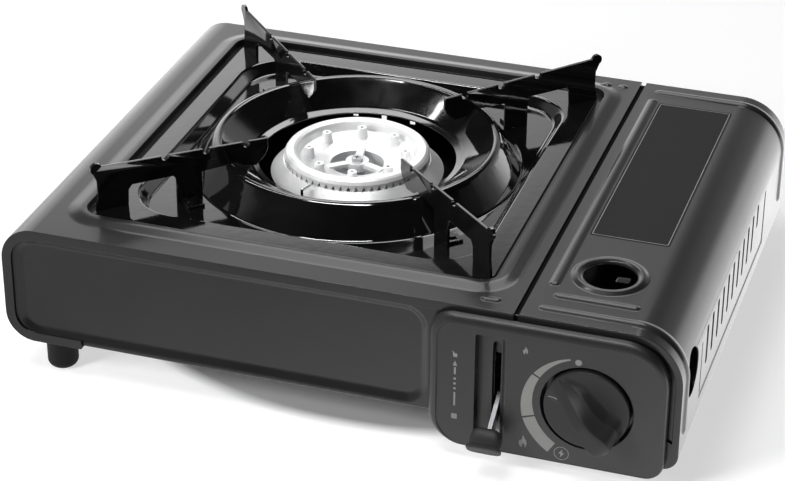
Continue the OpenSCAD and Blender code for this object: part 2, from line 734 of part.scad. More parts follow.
module regulator_body() color("#9a9c9e") home() {
  ear_y = barrel_end - 6;
  difference() {
    union() {
      facing(barrel_y, barrel_end - barrel_y) translate([knob_x, knob_z]) circle(barrel_r);
      translate([knob_x - 19, 16, knob_z]) cube([23, 20, tube_z + 6 - knob_z]);
      line_rod(line_l - 7, line_l + 4, 5.5);
      translate([knob_x + 6, dome_y, dome_z]) rotate([0, 90, 0]) cylinder(h = 10, r = dome_r);
      for (p = valve_spacers) facing(wall_y + sheet, barrel_y - wall_y) translate(p) circle(4);
      facing(barrel_y, 4) plate2d(knob_x - 17, knob_z - 22, knob_x + 15.7, knob_z + 25, [1, 1, 1, 1] * 5);
      facing(ear_y, 4) plate2d(knob_x - 22, knob_z - 13, knob_x + 22, knob_z - 1, [1, 1, 1, 1] * 5);
      facing(barrel_end - 1, 7) translate([knob_x, cartridge_z]) circle(6);
    }
    facing(barrel_y - 1, 10) translate([knob_x, knob_z]) circle(spindle_r + slip);
    facing(barrel_end - 4, 12) translate([knob_x, cartridge_z]) circle(2.2);
    for (x = guide_pin_x) facing(ear_y - 1, 6) translate([x, guide_pin_z]) circle(2 + 0.02);
    line_rod(line_l - 8, line_l + 1, 2.5 + 0.02);
    for (p = valve_spacers) facing(0, 9) translate(p) circle(1.3);
    translate([knob_x + 10, dome_y, dome_z]) rotate([0, 90, 0]) cylinder(h = 7, r = dome_bolt_r - 2.6);
    for (a = [45:90:315])
      translate([knob_x + 11, dome_y, dome_z]) rotate([a, 0, 0]) translate([0, 0, dome_bolt_r])
        rotate([0, 90, 0]) cylinder(h = 6, r = 1.1);
  }
}

module regulator_cover() color("#b3b5b7") home() {
  rim = dome_bolt_r - 2.3;
  translate([knob_x + 16, dome_y, dome_z]) rotate([0, 90, 0]) difference() {
    union() {
      cylinder(h = 2, r = dome_r);
      cylinder(h = 6, r1 = rim, r2 = rim - 2.2);
      cylinder(h = 8.5, r = 4);
    }
    translate([0, 0, -1]) cylinder(h = 5.5, r1 = rim - 1.2, r2 = rim - 3.2);
    for (a = [45:90:315]) rotate(a) translate([dome_bolt_r, 0, -1]) cylinder(h = 4, r = 1.3);
  }
}

module regulator_cover_screws() color("#c8cacc") home() {
  for (a = [45:90:315])
    translate([knob_x + 18, dome_y, dome_z]) rotate([a, 0, 0]) translate([0, 0, dome_bolt_r])
      rotate([0, 90, 0]) screw(2, 1.3, 1.05, 5);
}

module regulator_mount_screws() color("#b9bbbd") home() {
  for (p = valve_spacers)
    translate([p[0], wall_y, p[1]]) rotate([90, 0, 0]) screw(2.8, 1.4, 1.25, 6);
}

module inlet_seal() color("#1c1c1c") home() {
  facing(barrel_end + 6, 2) translate([knob_x, cartridge_z]) difference() {
    circle(5);
    circle(2.4);
  }
}

module guide_pins() color("#c0c2c4") home() {
  for (x = guide_pin_x) facing(barrel_end - 6, 21) translate([x, guide_pin_z]) circle(2);
}

// Sliding guide that pushes the cartridge's collar on to the valve
module cartridge_guide() color("#b4b6b8") home() {
  t = 1.5;
  arm_z = lever_z + 3.6;
  arm_x = lever_x + 2.5;
  pin = drive_pin();
  facing(guide_y, t) difference() {
    plate2d(knob_x - 22, guide_pin_z - 5, knob_x + 22, cartridge_z + 21, [3, 3, 8, 8]);
    translate([knob_x, cartridge_z]) circle(8);
    for (x = guide_pin_x) translate([x, guide_pin_z]) circle(2 + pin_slip);
  }
  translate([knob_x - 3, guide_y, cartridge_z + 19.5]) cube([6, 9, t]);
  translate([arm_x, guide_y, arm_z]) cube([knob_x - 21 - arm_x, t, 8]);
  difference() {
    translate([arm_x, pin[0] - 3.6, arm_z]) cube([t, guide_y + t - pin[0] + 3.6, 8]);
    translate([arm_x - 1, pin[0] - drive_r - pin_slip, arm_z + 1.3])
      cube([t + 2, 2 * (drive_r + pin_slip), 5]);
  }
}

// Place of the drive pin in the lever's resting position: y, z
function drive_pin() = [lever_y - lever_arm * sin(lever_a), lever_z + lever_arm * cos(lever_a)];

module valve_spindle() color("#c8a45a") home() {
  facing(-14, barrel_y + 9 + 14) translate([knob_x, knob_z]) circle(spindle_r);
}

// Rising cam: its radius grows evenly with the angle, and so winds the igniter
module igniter_cam() color("#c9c5b8") home() {
  steps = 48;
  rise = function(a) cam_r0 + cam_lift * (a + cam_rest) / cam_sweep;
  facing(cam_y, cam_t) translate([knob_x, knob_z]) difference() {
    polygon([
      for (i = [0:steps]) let(a = -cam_rest + cam_sweep * i / steps, r = rise(a))
        [r * cos(180 - a), r * sin(180 - a)],
      for (i = [0:8]) let(a = 87 + (360 - cam_sweep) * i / 8) [cam_r0 * cos(180 - a), cam_r0 * sin(180 - a)]
    ]);
    circle(spindle_r + 0.02);
  }
}

module control_knob() color("#343435") home() {
  face = -panel_out - 2.2;
  difference() {
    union() {
      facing(face, 5.2) translate([knob_x, knob_z]) circle(knob_r);
      facing(-knob_out, knob_out + face + 0.5) translate([knob_x, knob_z]) rotate(-45) knob_grip();
      facing(face, -face + 0.4) translate([knob_x, knob_z]) circle(6);
    }
    facing(-14.2, 20) translate([knob_x, knob_z]) circle(spindle_r + slip);
  }
}

// Front view of the grip: a bar across the knob with hollow flanks
module knob_grip() {
  intersection() {
    circle(knob_r - 0.4);
    difference() {
      translate([-knob_r, -9]) square([2 * knob_r, 17]);
      translate([-6, 32]) circle(27);
      translate([-8, -34]) circle(29);
    }
  }
}

// ---------------------------------------------------------------- igniter

piezo_x0 = part_x + 3.1;
piezo_x1 = knob_x - cam_r0 - cam_lift - 4;
tip_x = knob_x - cam_r0 - cam_lift * cam_rest / cam_sweep - seat;

module piezo_igniter() color("#e7e4da") home() {
  difference() {
    translate([piezo_x0, wall_y + sheet, knob_z - 5.3])
      cube([piezo_x1 - piezo_x0, piezo_y - wall_y - sheet + 5.3, 10.6]);
    translate([piezo_x0 + 1.5, piezo_y, knob_z]) rotate([0, 90, 0]) cylinder(h = 40, r = plunger_r + pin_slip);
  }
  facing(piezo_y + 5.3, 2) translate([piezo_x0 + 2.2, knob_z]) difference() {
    circle(1.9);
    circle(0.7);
  }
}

module piezo_plunger() color("#d8d4c6") home() {
  translate([tip_x - plunger_r, piezo_y, knob_z]) sphere(plunger_r);
  translate([piezo_x0 + 5.2, piezo_y, knob_z]) rotate([0, 90, 0])
    cylinder(h = tip_x - plunger_r - piezo_x0 - 5.2, r = plunger_r);
}

electrode_a = -107;
electrode_r = mouth_r - 3.7;
electrode = [burner_x + electrode_r * cos(electrode_a), burner_y + electrode_r * sin(electrode_a)];
lead_r = 1.2;
lead_z = plate_z + sheet + lead_r + 0.5;
lead_route = [
  [piezo_x0 + 2.2, piezo_y + 7.3, knob_z], [piezo_x0 + 2.2, 38, knob_z], [part_x - 8, 38, knob_z],
  [part_x - 14, 46, lead_z], [burner_x + 14, 84, lead_z], [electrode[0], electrode[1], lead_z + 10],
  [electrode[0], electrode[1], stand_z + 4]
];

module ignition_lead() color("#d9d9d4") home() {
  for (i = [0:len(lead_route) - 2]) bar(lead_route[i], lead_route[i + 1], lead_r);
  for (i = [1:len(lead_route) - 2]) translate(lead_route[i]) sphere(lead_r + 0.1);
}

// Saddles that hold the lead on the base
module lead_clips() color("#8b8d8f") home() {
  a = lead_route[3];
  b = lead_route[4];
  for (f = [0.2, 0.8]) translate([a[0] + (b[0] - a[0]) * f, a[1] + (b[1] - a[1]) * f, plate_z + sheet])
    rotate([0, 0, atan2(b[1] - a[1], b[0] - a[0])]) difference() {
      union() {
        translate([-3, -2.6, 0]) cube([6, 5.2, 4.2]);
        translate([-3, -7, 0]) cube([6, 14, 0.8]);
      }
      translate([-4, 0, lead_r + 0.5]) rotate([0, 90, 0]) cylinder(h = 8, r = lead_r + slip);
      translate([-4, -lead_r - slip, -1]) cube([8, 2 * (lead_r + slip), lead_r + 1.5]);
    }
}

module spark_electrode() color("#c0c2c4") home() translate([burner_x, burner_y, 0]) rotate(electrode_a) {
  z0 = stand_z + 4;
  z1 = cap_z + 1.6;
  translate([electrode_r, 0, z0]) cylinder(h = z1 - z0, r = 0.8);
  translate([electrode_r, 0, z1]) sphere(0.8);
  translate([cap_r + 3, 0, z1]) rotate([0, 90, 0]) cylinder(h = electrode_r - cap_r - 3, r = 0.8);
}

module electrode_insulator() color("#ece9e0") home() {
  translate([electrode[0], electrode[1], stand_z + 6]) difference() {
    cylinder(h = 15, r = 2.2);
    translate([0, 0, -1]) cylinder(h = 20, r = 0.82);
  }
}

module electrode_bracket() color("#8b8d8f") home() translate([burner_x, burner_y, stand_z + 9]) rotate(electrode_a) {
  difference() {
    translate([cup_r + 0.05, -4, 0]) cube([electrode_r - cup_r + 3.2, 8, 1.2]);
    translate([electrode_r, 0, -1]) cylinder(h = 4, r = 2.25);
  }
  difference() {
    translate([cup_r + 0.05, -4, -5]) cube([1.2, 8, 6]);
    translate([0, 0, -6]) cylinder(h = 8, r = cup_r + 0.05);
  }
}

// ---------------------------------------------------------------- lever

module lever_bracket() color("#8b8d8f") home() {
  x0 = lever_x - 3.4;
  z0 = lever_z - 18;
  y0 = wall_y + sheet;
  difference() {
    union() {
      for (x = [x0, lever_x + 2.2]) translate([x, y0, z0]) cube([1.2, lever_y + 5 - y0, 21]);
      translate([x0, y0, z0]) cube([6.8, lever_y + 5 - y0, 1.2]);
    }
    translate([x0 - 1, lever_y, lever_z]) rotate([0, 90, 0]) cylinder(h = 10, r = pivot_r + 0.02);
  }
}

module lever_pivot_pin() color("#c0c2c4") home() {
  translate([lever_x - 3.4, lever_y, lever_z]) rotate([0, 90, 0]) {
    cylinder(h = 6.8, r = pivot_r);
    translate([0, 0, -1]) cylinder(h = 1, r = 2.8);
    translate([0, 0, 6.8]) cylinder(h = 0.8, r = 2.8);
  }
}

// Puts the lever, drawn level with its free end along +X and up along +Y, in its place
module at_lever(x, t) {
  translate([x, lever_y, lever_z]) rotate([lever_a, 0, 0]) mirror([0, 1, 0])
    rotate([90, 0, 90]) linear_extrude(t) children();
}

module lever_blade() color("#c3c5c7") home() {
  at_lever(lever_x - 1, 2) difference() {
    union() {
      circle(4.4);
      translate([0, -4]) square([lever_len - 8, 8]);
      translate([-3.6, 0]) square([7.2, lever_arm]);
      translate([0, lever_arm]) circle(3.6);
      plate2d(lever_len - 12, -3, lever_len - 3, 3, [0, 2, 2, 0]);
    }
    circle(pivot_r + pin_slip);
    translate([0, lever_arm]) circle(drive_r + 0.02);
  }
}

module lever_drive_pin() color("#c0c2c4") home() {
  pin = drive_pin();
  translate([lever_x - 1, pin[0], pin[1]]) rotate([0, 90, 0]) {
    cylinder(h = part_x - lever_x + 0.6, r = drive_r);
    translate([0, 0, -0.8]) cylinder(h = 0.8, r = 2.4);
  }
}

module lever_handle() color("#2c2c2d") home() {
  difference() {
    at_lever(lever_x - 9, 17) {
      plate2d(lever_len - 10.5, -5, lever_len, 4, [2, 4, 4, 1]);
      plate2d(lever_len - 10.5, -6.2, lever_len - 6, -3, [1, 1, 0, 0]);
    }
    at_lever(lever_x - 1 - slip, 2 + 2 * slip) {
      translate([0, -4 - slip]) square([lever_len - 8 + slip, 8 + 2 * slip]);
      plate2d(lever_len - 12, -3 - slip, lever_len - 3 + slip, 3 + slip, [0, 2, 2, 0]);
    }
  }
}

// ---------------------------------------------------------------- lid

module lid_outline(inset) {
  plate2d(seam_x + seam_gap / 2, bay_z + inset, body_w - inset, top_z - inset,
          [0, hinge_r - inset, lid_r - inset, 0]);
}

// Front view of the lid's top, right wall and lower lip, w wide
module lid_band(w) {
  difference() {
    lid_outline(0);
    lid_outline(w);
    translate([seam_x - 1, bay_z - 1]) square([hinge_x - seam_x + 1, w + 2]);
  }
}

// Pressed bead over the lid at y: along the top, round the corner and down the right wall
module lid_ribs(y) {
  flat = body_w - lid_r;
  pressed_bead([[seam_x + 10.5, y], [flat, y]], top_z);
  translate([flat, y, top_z - lid_r]) rotate([90, 0, 0]) rotate_extrude(angle = 90)
    translate([lid_r + rib_h - rib_r, 0]) circle(rib_r);
  translate([body_w + rib_h - rib_r, y, bay_z + 18]) cylinder(h = top_z - lid_r - bay_z - 18, r = rib_r);
  translate([body_w + rib_h - rib_r, y, bay_z + 18]) sphere(rib_r);
}

module lid_solid(inset) {
  facing(lid_y - 1, body_d + 2) lid_outline(inset);
}

module cartridge_lid() color("#3a3b3d") home() {
  field_y0 = 43;
  field_y1 = body_d - 59;
  field_z0 = bay_z + 14;
  field_z1 = top_z - lid_r;
  slot_z = bay_z + 26.5;
  pitch = 12.5;
  difference() {
    union() {
      facing(lid_y, body_d - 2 * lid_y) lid_band(sheet);
      for (y = [lid_y, body_d - lid_y - sheet]) facing(y, sheet) {
        lid_band(flange_w - 1.5);
        translate([hinge_x, hinge_z]) circle(hinge_r);
      }
      intersection() {
        union() {
          lid_ribs(9.8);
          lid_ribs(body_d - 10.2);
          pressed_bead([[seam_x + 14, 22.6], [seam_x + 50, 22.6]], top_z);
          pressed_bead([[seam_x + 9.2, 33], [seam_x + 9.2, body_d - 22]], top_z);
        }
        difference() {
          translate([seam_x, 0, bay_z]) cube([body_w - seam_x + 2, body_d, top_z]);
          lid_solid(sheet / 2);
        }
      }
      translate([sight_x, sight_y, top_z]) rotate_extrude() polygon([
        [sight_r + 5.7, 0], [sight_r + 3.4, 1.4], [sight_r + 2, 1.4], [sight_r, 0.3],
        [sight_r, -sheet], [sight_r + 5.7, -sheet]
      ]);
    }
    translate([sight_x, sight_y, top_z - 3]) cylinder(h = 6, r = sight_r);
    translate([body_w - 12, sight_r + 10.2, knob_z + 12]) rotate([0, 90, 0]) cylinder(h = 20, r = sight_r - 0.8);
    for (i = [0:lid_slots - 1])
      translate([body_w - 6, field_y0 + 12 + pitch * i, slot_z + (i == lid_slots - 1 ? 8 : 0)])
        cube([8, 2, i == lid_slots - 1 ? 13 : 21]);
    for (y = [-1, body_d - 3]) facing(y, 4) translate([hinge_x, hinge_z]) circle(hinge_pin_r + slip);
    translate([body_w - 0.4, field_y0, field_z0]) cube([1, 1.6, field_z1 - field_z0]);
    translate([body_w - 0.4, field_y1, field_z0]) cube([1, 1.6, field_z1 - field_z0]);
    translate([body_w - 0.4, field_y0, field_z0]) cube([1, field_y1 - field_y0, 1.6]);
  }
}

module lid_hinge_pins() color("#c0c2c4") home() {
  for (m = [0, 1]) translate([0, m * body_d, 0]) mirror([0, m, 0]) {
    facing(lid_y, 6) translate([hinge_x, hinge_z]) circle(hinge_pin_r);
    facing(wall_y + sheet, 1.4) translate([hinge_x, hinge_z]) circle(2.8);
  }
}

// ---------------------------------------------------------------- parts

housing_shell();
base_pan();
bay_partition();
bay_pan();
left_feet();
right_feet();
feet_screws();
shell_screws();
control_panel();
panel_screws();
drip_tray();
pan_support(225);  // pan_support_fl
pan_support(315);  // pan_support_fr
pan_support(45);  // pan_support_rr
pan_support(135);  // pan_support_rl
support_rivets();
burner_base();
burner_cap();
burner_cap_screw();
burner_stud();
burner_bracket();
bracket_screws();
mixing_tube();
air_shutter();
gas_jet();
gas_pipe();
regulator_body();
regulator_cover();
regulator_cover_screws();
regulator_mount_screws();
inlet_seal();
guide_pins();
cartridge_guide();
valve_spindle();
igniter_cam();
control_knob();
piezo_igniter();
piezo_plunger();
ignition_lead();
lead_clips();
spark_electrode();
electrode_insulator();
electrode_bracket();
lever_bracket();
lever_pivot_pin();
lever_blade();
lever_drive_pin();
lever_handle();
cartridge_lid();
lid_hinge_pins();
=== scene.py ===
import json
from math import cos, pi, radians, sin, sqrt

import bmesh
import bpy
from mathutils import Matrix, Vector

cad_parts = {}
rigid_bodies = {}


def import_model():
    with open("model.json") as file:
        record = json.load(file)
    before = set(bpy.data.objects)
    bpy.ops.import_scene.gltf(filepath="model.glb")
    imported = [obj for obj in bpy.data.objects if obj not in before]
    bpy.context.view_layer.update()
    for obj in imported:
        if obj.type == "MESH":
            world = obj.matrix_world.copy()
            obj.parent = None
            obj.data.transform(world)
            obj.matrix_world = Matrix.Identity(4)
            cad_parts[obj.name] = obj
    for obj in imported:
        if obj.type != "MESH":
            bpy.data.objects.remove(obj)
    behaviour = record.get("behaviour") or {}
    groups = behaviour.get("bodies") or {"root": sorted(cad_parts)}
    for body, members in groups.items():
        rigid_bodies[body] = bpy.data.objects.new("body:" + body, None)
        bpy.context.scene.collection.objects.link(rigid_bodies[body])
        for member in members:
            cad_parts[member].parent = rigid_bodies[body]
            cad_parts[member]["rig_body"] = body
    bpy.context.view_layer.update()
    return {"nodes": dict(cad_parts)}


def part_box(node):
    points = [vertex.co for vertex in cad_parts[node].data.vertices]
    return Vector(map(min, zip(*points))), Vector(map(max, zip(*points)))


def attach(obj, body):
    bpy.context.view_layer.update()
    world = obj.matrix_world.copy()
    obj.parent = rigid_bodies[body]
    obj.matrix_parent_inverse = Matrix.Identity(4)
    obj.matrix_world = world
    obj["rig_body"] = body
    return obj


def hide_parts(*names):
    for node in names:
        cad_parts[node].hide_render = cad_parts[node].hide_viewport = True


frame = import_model()

# Camera, studio floor and lights. A long lens stands half a metre above the table and a metre in
# front of the stove, to its right. A white floor and backdrop surround it, under a dark ceiling.
camera = bpy.data.objects.new("camera", bpy.data.cameras.new("camera"))
bpy.context.scene.collection.objects.link(camera)
bpy.context.scene.camera = camera
camera.data.sensor_width = 36
camera.data.lens = 112.54
camera.data.clip_end = 20
camera.matrix_world = Matrix((
    (0.94999, -0.15698, 0.26995, 0.33455),
    (0.31224, 0.46398, -0.82899, -1.05148),
    (0.00488, 0.87182, 0.48979, 0.65932),
    (0, 0, 0, 1)))
bpy.context.scene.view_settings.view_transform = "Standard"


def combined(tree, operation, first, second):
    """Two values put together by a maths node."""
    node = tree.nodes.new("ShaderNodeMath")
    node.operation = operation
    tree.links.new(first, node.inputs[0])
    tree.links.new(second, node.inputs[1])
    return node.outputs[0]


def graded(tree, value, low, high, first=0.0, last=1.0):
    """A value graded evenly, from first where it is low to last where it is high."""
    span = tree.nodes.new("ShaderNodeMapRange")
    for socket, number in zip(("From Min", "From Max", "To Min", "To Max"), (low, high, first, last)):
        span.inputs[socket].default_value = number
    tree.links.new(value, span.inputs["Value"])
    return span.outputs["Result"]


def shader_mix(tree, share, first, second):
    """The first shader, giving way to the second by a share."""
    mix = tree.nodes.new("ShaderNodeMixShader")
    for socket, source in enumerate((share, first.outputs[0], second.outputs[0])):
        tree.links.new(source, mix.inputs[socket])
    return mix


def seen_as_background(tree, lit, seen):
    """The lit shader, or the seen one where the camera or glass looks at it."""
    path = tree.nodes.new("ShaderNodeLightPath")
    looked_at = combined(
        tree, "MAXIMUM", path.outputs["Is Camera Ray"], path.outputs["Is Transmission Ray"])
    return shader_mix(tree, looked_at, lit, seen)


floor_mesh = bmesh.new()
bmesh.ops.create_grid(floor_mesh, x_segments=1, y_segments=1, size=6)
floor_data = bpy.data.meshes.new("floor")
floor_mesh.to_mesh(floor_data)
floor_mesh.free()
floor = bpy.data.objects.new("floor", floor_data)
bpy.context.scene.collection.objects.link(floor)
floor_paint = bpy.data.materials.new("studio_floor")
floor_paint.use_nodes = True
floor_tree = floor_paint.node_tree
floor_tree.nodes.clear()
floor_lit = floor_tree.nodes.new("ShaderNodeBsdfDiffuse")
floor_lit.inputs["Color"].default_value = (0.5, 0.5, 0.5, 1)
floor_place = floor_tree.nodes.new("ShaderNodeTexCoord")


def floor_glow(measure, point, low, high, rise, stretch=(1, 1, 1)):
    """The lit floor with a glow that rises with a distance from a point or with a way along a line."""
    oval = floor_tree.nodes.new("ShaderNodeVectorMath")
    oval.operation = "MULTIPLY"
    oval.inputs[1].default_value = stretch
    floor_tree.links.new(floor_place.outputs["Object"], oval.inputs[0])
    along = floor_tree.nodes.new("ShaderNodeVectorMath")
    along.operation = measure
    along.inputs[1].default_value = point
    floor_tree.links.new(oval.outputs[0], along.inputs[0])
    glow = floor_tree.nodes.new("ShaderNodeEmission")
    strength = graded(floor_tree, along.outputs["Value"], low, high, *rise)
    floor_tree.links.new(strength, glow.inputs["Strength"])
    both = floor_tree.nodes.new("ShaderNodeAddShader")
    floor_tree.links.new(floor_lit.outputs[0], both.inputs[0])
    floor_tree.links.new(glow.outputs[0], both.inputs[1])
    return both


# Under the body the floor's glow is taken out in an oval inside its outline: a painted shadow.
shadow_oval_stretch = (6.1, 7.87, 1)
shadow_oval_centre = (0, 0.063, 0)
floor_seen_with_painted_shadow = floor_glow("DISTANCE", shadow_oval_centre, 0.93, 1.0, (0, 0.6), shadow_oval_stretch)
# Seen only in reflections, the floor glows up to nearly twice white towards the back right: a painted
# reflection.
floor_painted_reflection = floor_glow("DOT_PRODUCT", (1, 1, 0), -0.35, 0.25, (0.1, 1.8))
floor_path = floor_tree.nodes.new("ShaderNodeLightPath")
floor_plain = seen_as_background(floor_tree, floor_lit, floor_seen_with_painted_shadow)
floor_mix = shader_mix(floor_tree, floor_path.outputs["Is Glossy Ray"], floor_plain, floor_painted_reflection)
floor_out = floor_tree.nodes.new("ShaderNodeOutputMaterial")
floor_tree.links.new(floor_mix.outputs[0], floor_out.inputs["Surface"])
floor_data.materials.append(floor_paint)

world = bpy.data.worlds.new("studio")
bpy.context.scene.world = world
world.use_nodes = True
sky = world.node_tree
sky.nodes.clear()
sky_place = sky.nodes.new("ShaderNodeTexCoord")
sky_split = sky.nodes.new("ShaderNodeSeparateXYZ")
sky.links.new(sky_place.outputs["Generated"], sky_split.inputs[0])
sky_ramp = sky.nodes.new("ShaderNodeValToRGB")
sky_ramp.color_ramp.elements[0].color = (1, 1, 1, 1)
sky_ramp.color_ramp.elements[1].color = (0.03, 0.03, 0.03, 1)
for height, grey in ((0.42, 1.0), (0.48, 0.62), (0.51, 0.2), (0.56, 0.04)):
    stop = sky_ramp.color_ramp.elements.new(height)
    stop.color = (grey, grey, grey, 1)
sky.links.new(sky_split.outputs["Z"], sky_ramp.inputs[0])
sky_behind = graded(sky, sky_split.outputs["Y"], 0.4, 0.8, 0.25, 1.9)
sky_left = graded(sky, sky_split.outputs["X"], -0.05, -0.4, 0.22)
sky_low = graded(sky, sky_split.outputs["Z"], 0.3, 0.08)
sky_wide = combined(sky, "MAXIMUM", sky_left, sky_low)
sky_strength = combined(sky, "MULTIPLY", sky_behind, sky_wide)
sky_lit = sky.nodes.new("ShaderNodeBackground")
sky.links.new(sky_ramp.outputs[0], sky_lit.inputs["Color"])
sky.links.new(sky_strength, sky_lit.inputs["Strength"])
sky_white = sky.nodes.new("ShaderNodeBackground")
sky_mix = seen_as_background(sky, sky_lit, sky_white)
sky_out = sky.nodes.new("ShaderNodeOutputWorld")
sky.links.new(sky_mix.outputs[0], sky_out.inputs["Surface"])


def softbox(name, place, aim, wide, high, watts, shiny=False):
    """A rectangular studio light that faces the point aim; a shiny one only shows in reflections."""
    lamp = bpy.data.lights.new(name, "AREA")
    lamp.shape = "RECTANGLE"
    lamp.size, lamp.size_y, lamp.energy = wide, high, watts
    body = bpy.data.objects.new(name, lamp)
    bpy.context.scene.collection.objects.link(body)
    turn = (Vector(place) - Vector(aim)).to_track_quat("Z", "Y")
    body.matrix_world = Matrix.Translation(place) @ turn.to_matrix().to_4x4()
    body.visible_glossy, body.visible_diffuse = shiny, not shiny


softbox("overhead", (-0.35, -0.25, 1.5), (0, 0, 0), 0.9, 0.5, 14)
softbox("left_front", (-1.1, -1.3, 0.9), (0, 0, 0.05), 0.5, 0.9, 34)
softbox("left_strip", (-0.9, 0.2, 1.5), (0, 0, 0.08), 0.06, 0.9, 3, True)
softbox("top_strip", (-0.1, -0.42, 1.6), (0, 0, 0.08), 0.9, 0.1, 14, True)
softbox("rear_panel", (-0.25, 0.9, 1.35), (0, 0, 0.08), 0.9, 0.9, 9, True)


# Housing. The shell and the base with its recessed front face are pressed from 1 mm steel sheet
# and powder coated a satin black. Folds are drawn round, and cut edges are only just broken.
def shader_of(name, **plain):
    """A new material with its Principled shader, plain values set on its own sockets."""
    material = bpy.data.materials.new(name)
    material.use_nodes = True
    shader = material.node_tree.nodes["Principled BSDF"]
    for socket, value in plain.items():
        shader.inputs[socket.replace("_", " ")].default_value = value
    return material, shader


def grain_group():
    """Node group: a fine surface grain, as an even bump normal and a mask of slow patches."""
    group = bpy.data.node_groups.new("grain", "ShaderNodeTree")
    for name, value in (("Scale", 900.0), ("Depth", 0.05), ("Patch Scale", 14.0)):
        group.interface.new_socket(name, in_out="INPUT", socket_type="NodeSocketFloat").default_value = value
    group.interface.new_socket("Normal", in_out="OUTPUT", socket_type="NodeSocketVector")
    group.interface.new_socket("Patches", in_out="OUTPUT", socket_type="NodeSocketFloat")
    nodes, link = group.nodes, group.links.new
    given, put = nodes.new("NodeGroupInput"), nodes.new("NodeGroupOutput")
    place = nodes.new("ShaderNodeTexCoord")
    fine = nodes.new("ShaderNodeTexNoise")
    fine.inputs["Detail"].default_value = 3
    link(place.outputs["Object"], fine.inputs["Vector"])
    link(given.outputs["Scale"], fine.inputs["Scale"])
    bump = nodes.new("ShaderNodeBump")
    bump.inputs["Distance"].default_value = 0.0004
    link(given.outputs["Depth"], bump.inputs["Strength"])
    link(fine.outputs["Fac"], bump.inputs["Height"])
    link(bump.outputs["Normal"], put.inputs["Normal"])
    slow = nodes.new("ShaderNodeTexNoise")
    slow.inputs["Detail"].default_value = 5
    slow.inputs["Roughness"].default_value = 0.6
    link(place.outputs["Object"], slow.inputs["Vector"])
    link(given.outputs["Patch Scale"], slow.inputs["Scale"])
    link(slow.outputs["Fac"], put.inputs["Patches"])
    return group


def blend_group():
    """Node group: two greys mixed by a mask, as a colour, and two roughnesses by the same mask."""
    group = bpy.data.node_groups.new("patches", "ShaderNodeTree")
    group.interface.new_socket("Mask", in_out="INPUT", socket_type="NodeSocketFloat")
    for name in ("Color A", "Color B"):
        group.interface.new_socket(name, in_out="INPUT", socket_type="NodeSocketColor")
    for name in ("Rough A", "Rough B"):
        group.interface.new_socket(name, in_out="INPUT", socket_type="NodeSocketFloat")
    group.interface.new_socket("Color", in_out="OUTPUT", socket_type="NodeSocketColor")
    group.interface.new_socket("Roughness", in_out="OUTPUT", socket_type="NodeSocketFloat")
    nodes, link = group.nodes, group.links.new
    given, put = nodes.new("NodeGroupInput"), nodes.new("NodeGroupOutput")
    spread = nodes.new("ShaderNodeMapRange")
    spread.inputs["From Min"].default_value = 0.35
    spread.inputs["From Max"].default_value = 0.65
    link(given.outputs["Mask"], spread.inputs["Value"])
    tint = nodes.new("ShaderNodeMix")
    tint.data_type = "RGBA"
    link(spread.outputs["Result"], tint.inputs["Factor"])
    link(given.outputs["Color A"], tint.inputs["A"])
    link(given.outputs["Color B"], tint.inputs["B"])
    link(tint.outputs["Result"], put.inputs["Color"])
    rough = nodes.new("ShaderNodeMix")
    link(spread.outputs["Result"], rough.inputs["Factor"])
    link(given.outputs["Rough A"], rough.inputs["A"])
    link(given.outputs["Rough B"], rough.inputs["B"])
    link(rough.outputs["Result"], put.inputs["Roughness"])
    return group


grain, patches = grain_group(), blend_group()


def finish(name, colours, roughs, scale=900.0, depth=0.05, patch=14.0, **plain):
    """A surface finish: two near colours and roughnesses in slow patches, over a fine grain."""
    material, shader = shader_of(name, **plain)
    nodes, link = material.node_tree.nodes, material.node_tree.links.new
    fine, mixed = nodes.new("ShaderNodeGroup"), nodes.new("ShaderNodeGroup")
    fine.node_tree, mixed.node_tree = grain, patches
    fine.inputs["Scale"].default_value = scale
    fine.inputs["Depth"].default_value = depth
    fine.inputs["Patch Scale"].default_value = patch
    for side, colour, rough in zip("AB", colours, roughs):
        mixed.inputs["Color " + side].default_value = (*colour, 1)
        mixed.inputs["Rough " + side].default_value = rough
    link(fine.outputs["Patches"], mixed.inputs["Mask"])
    link(mixed.outputs["Color"], shader.inputs["Base Color"])
    link(mixed.outputs["Roughness"], shader.inputs["Roughness"])
    link(fine.outputs["Normal"], shader.inputs["Normal"])
    return material


def wear(material, *names):
    """Gives CAD nodes this finish in place of the plain one they came with."""
    for name in names:
        frame["nodes"][name].data.materials.clear()
        frame["nodes"][name].data.materials.append(material)


def body_of(node):
    """The moving body that a CAD node rides on."""
    return frame["nodes"][node]["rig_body"]


def piece_of(name, shape, material, body, replaced=(), sharp=40):
    """Makes the bmesh a finished piece that rides on a body, smooth but for its sharp edges."""
    for face in shape.faces:
        face.smooth = True
    mesh = bpy.data.meshes.new(name)
    shape.to_mesh(mesh)
    shape.free()
    mesh.set_sharp_from_angle(angle=radians(sharp))
    mesh.materials.append(material)
    piece = bpy.data.objects.new(name, mesh)
    bpy.context.scene.collection.objects.link(piece)
    even = piece.modifiers.new("even_normals", "WEIGHTED_NORMAL")
    even.keep_sharp = True
    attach(piece, body)
    if replaced:
        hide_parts(*replaced)
    return piece


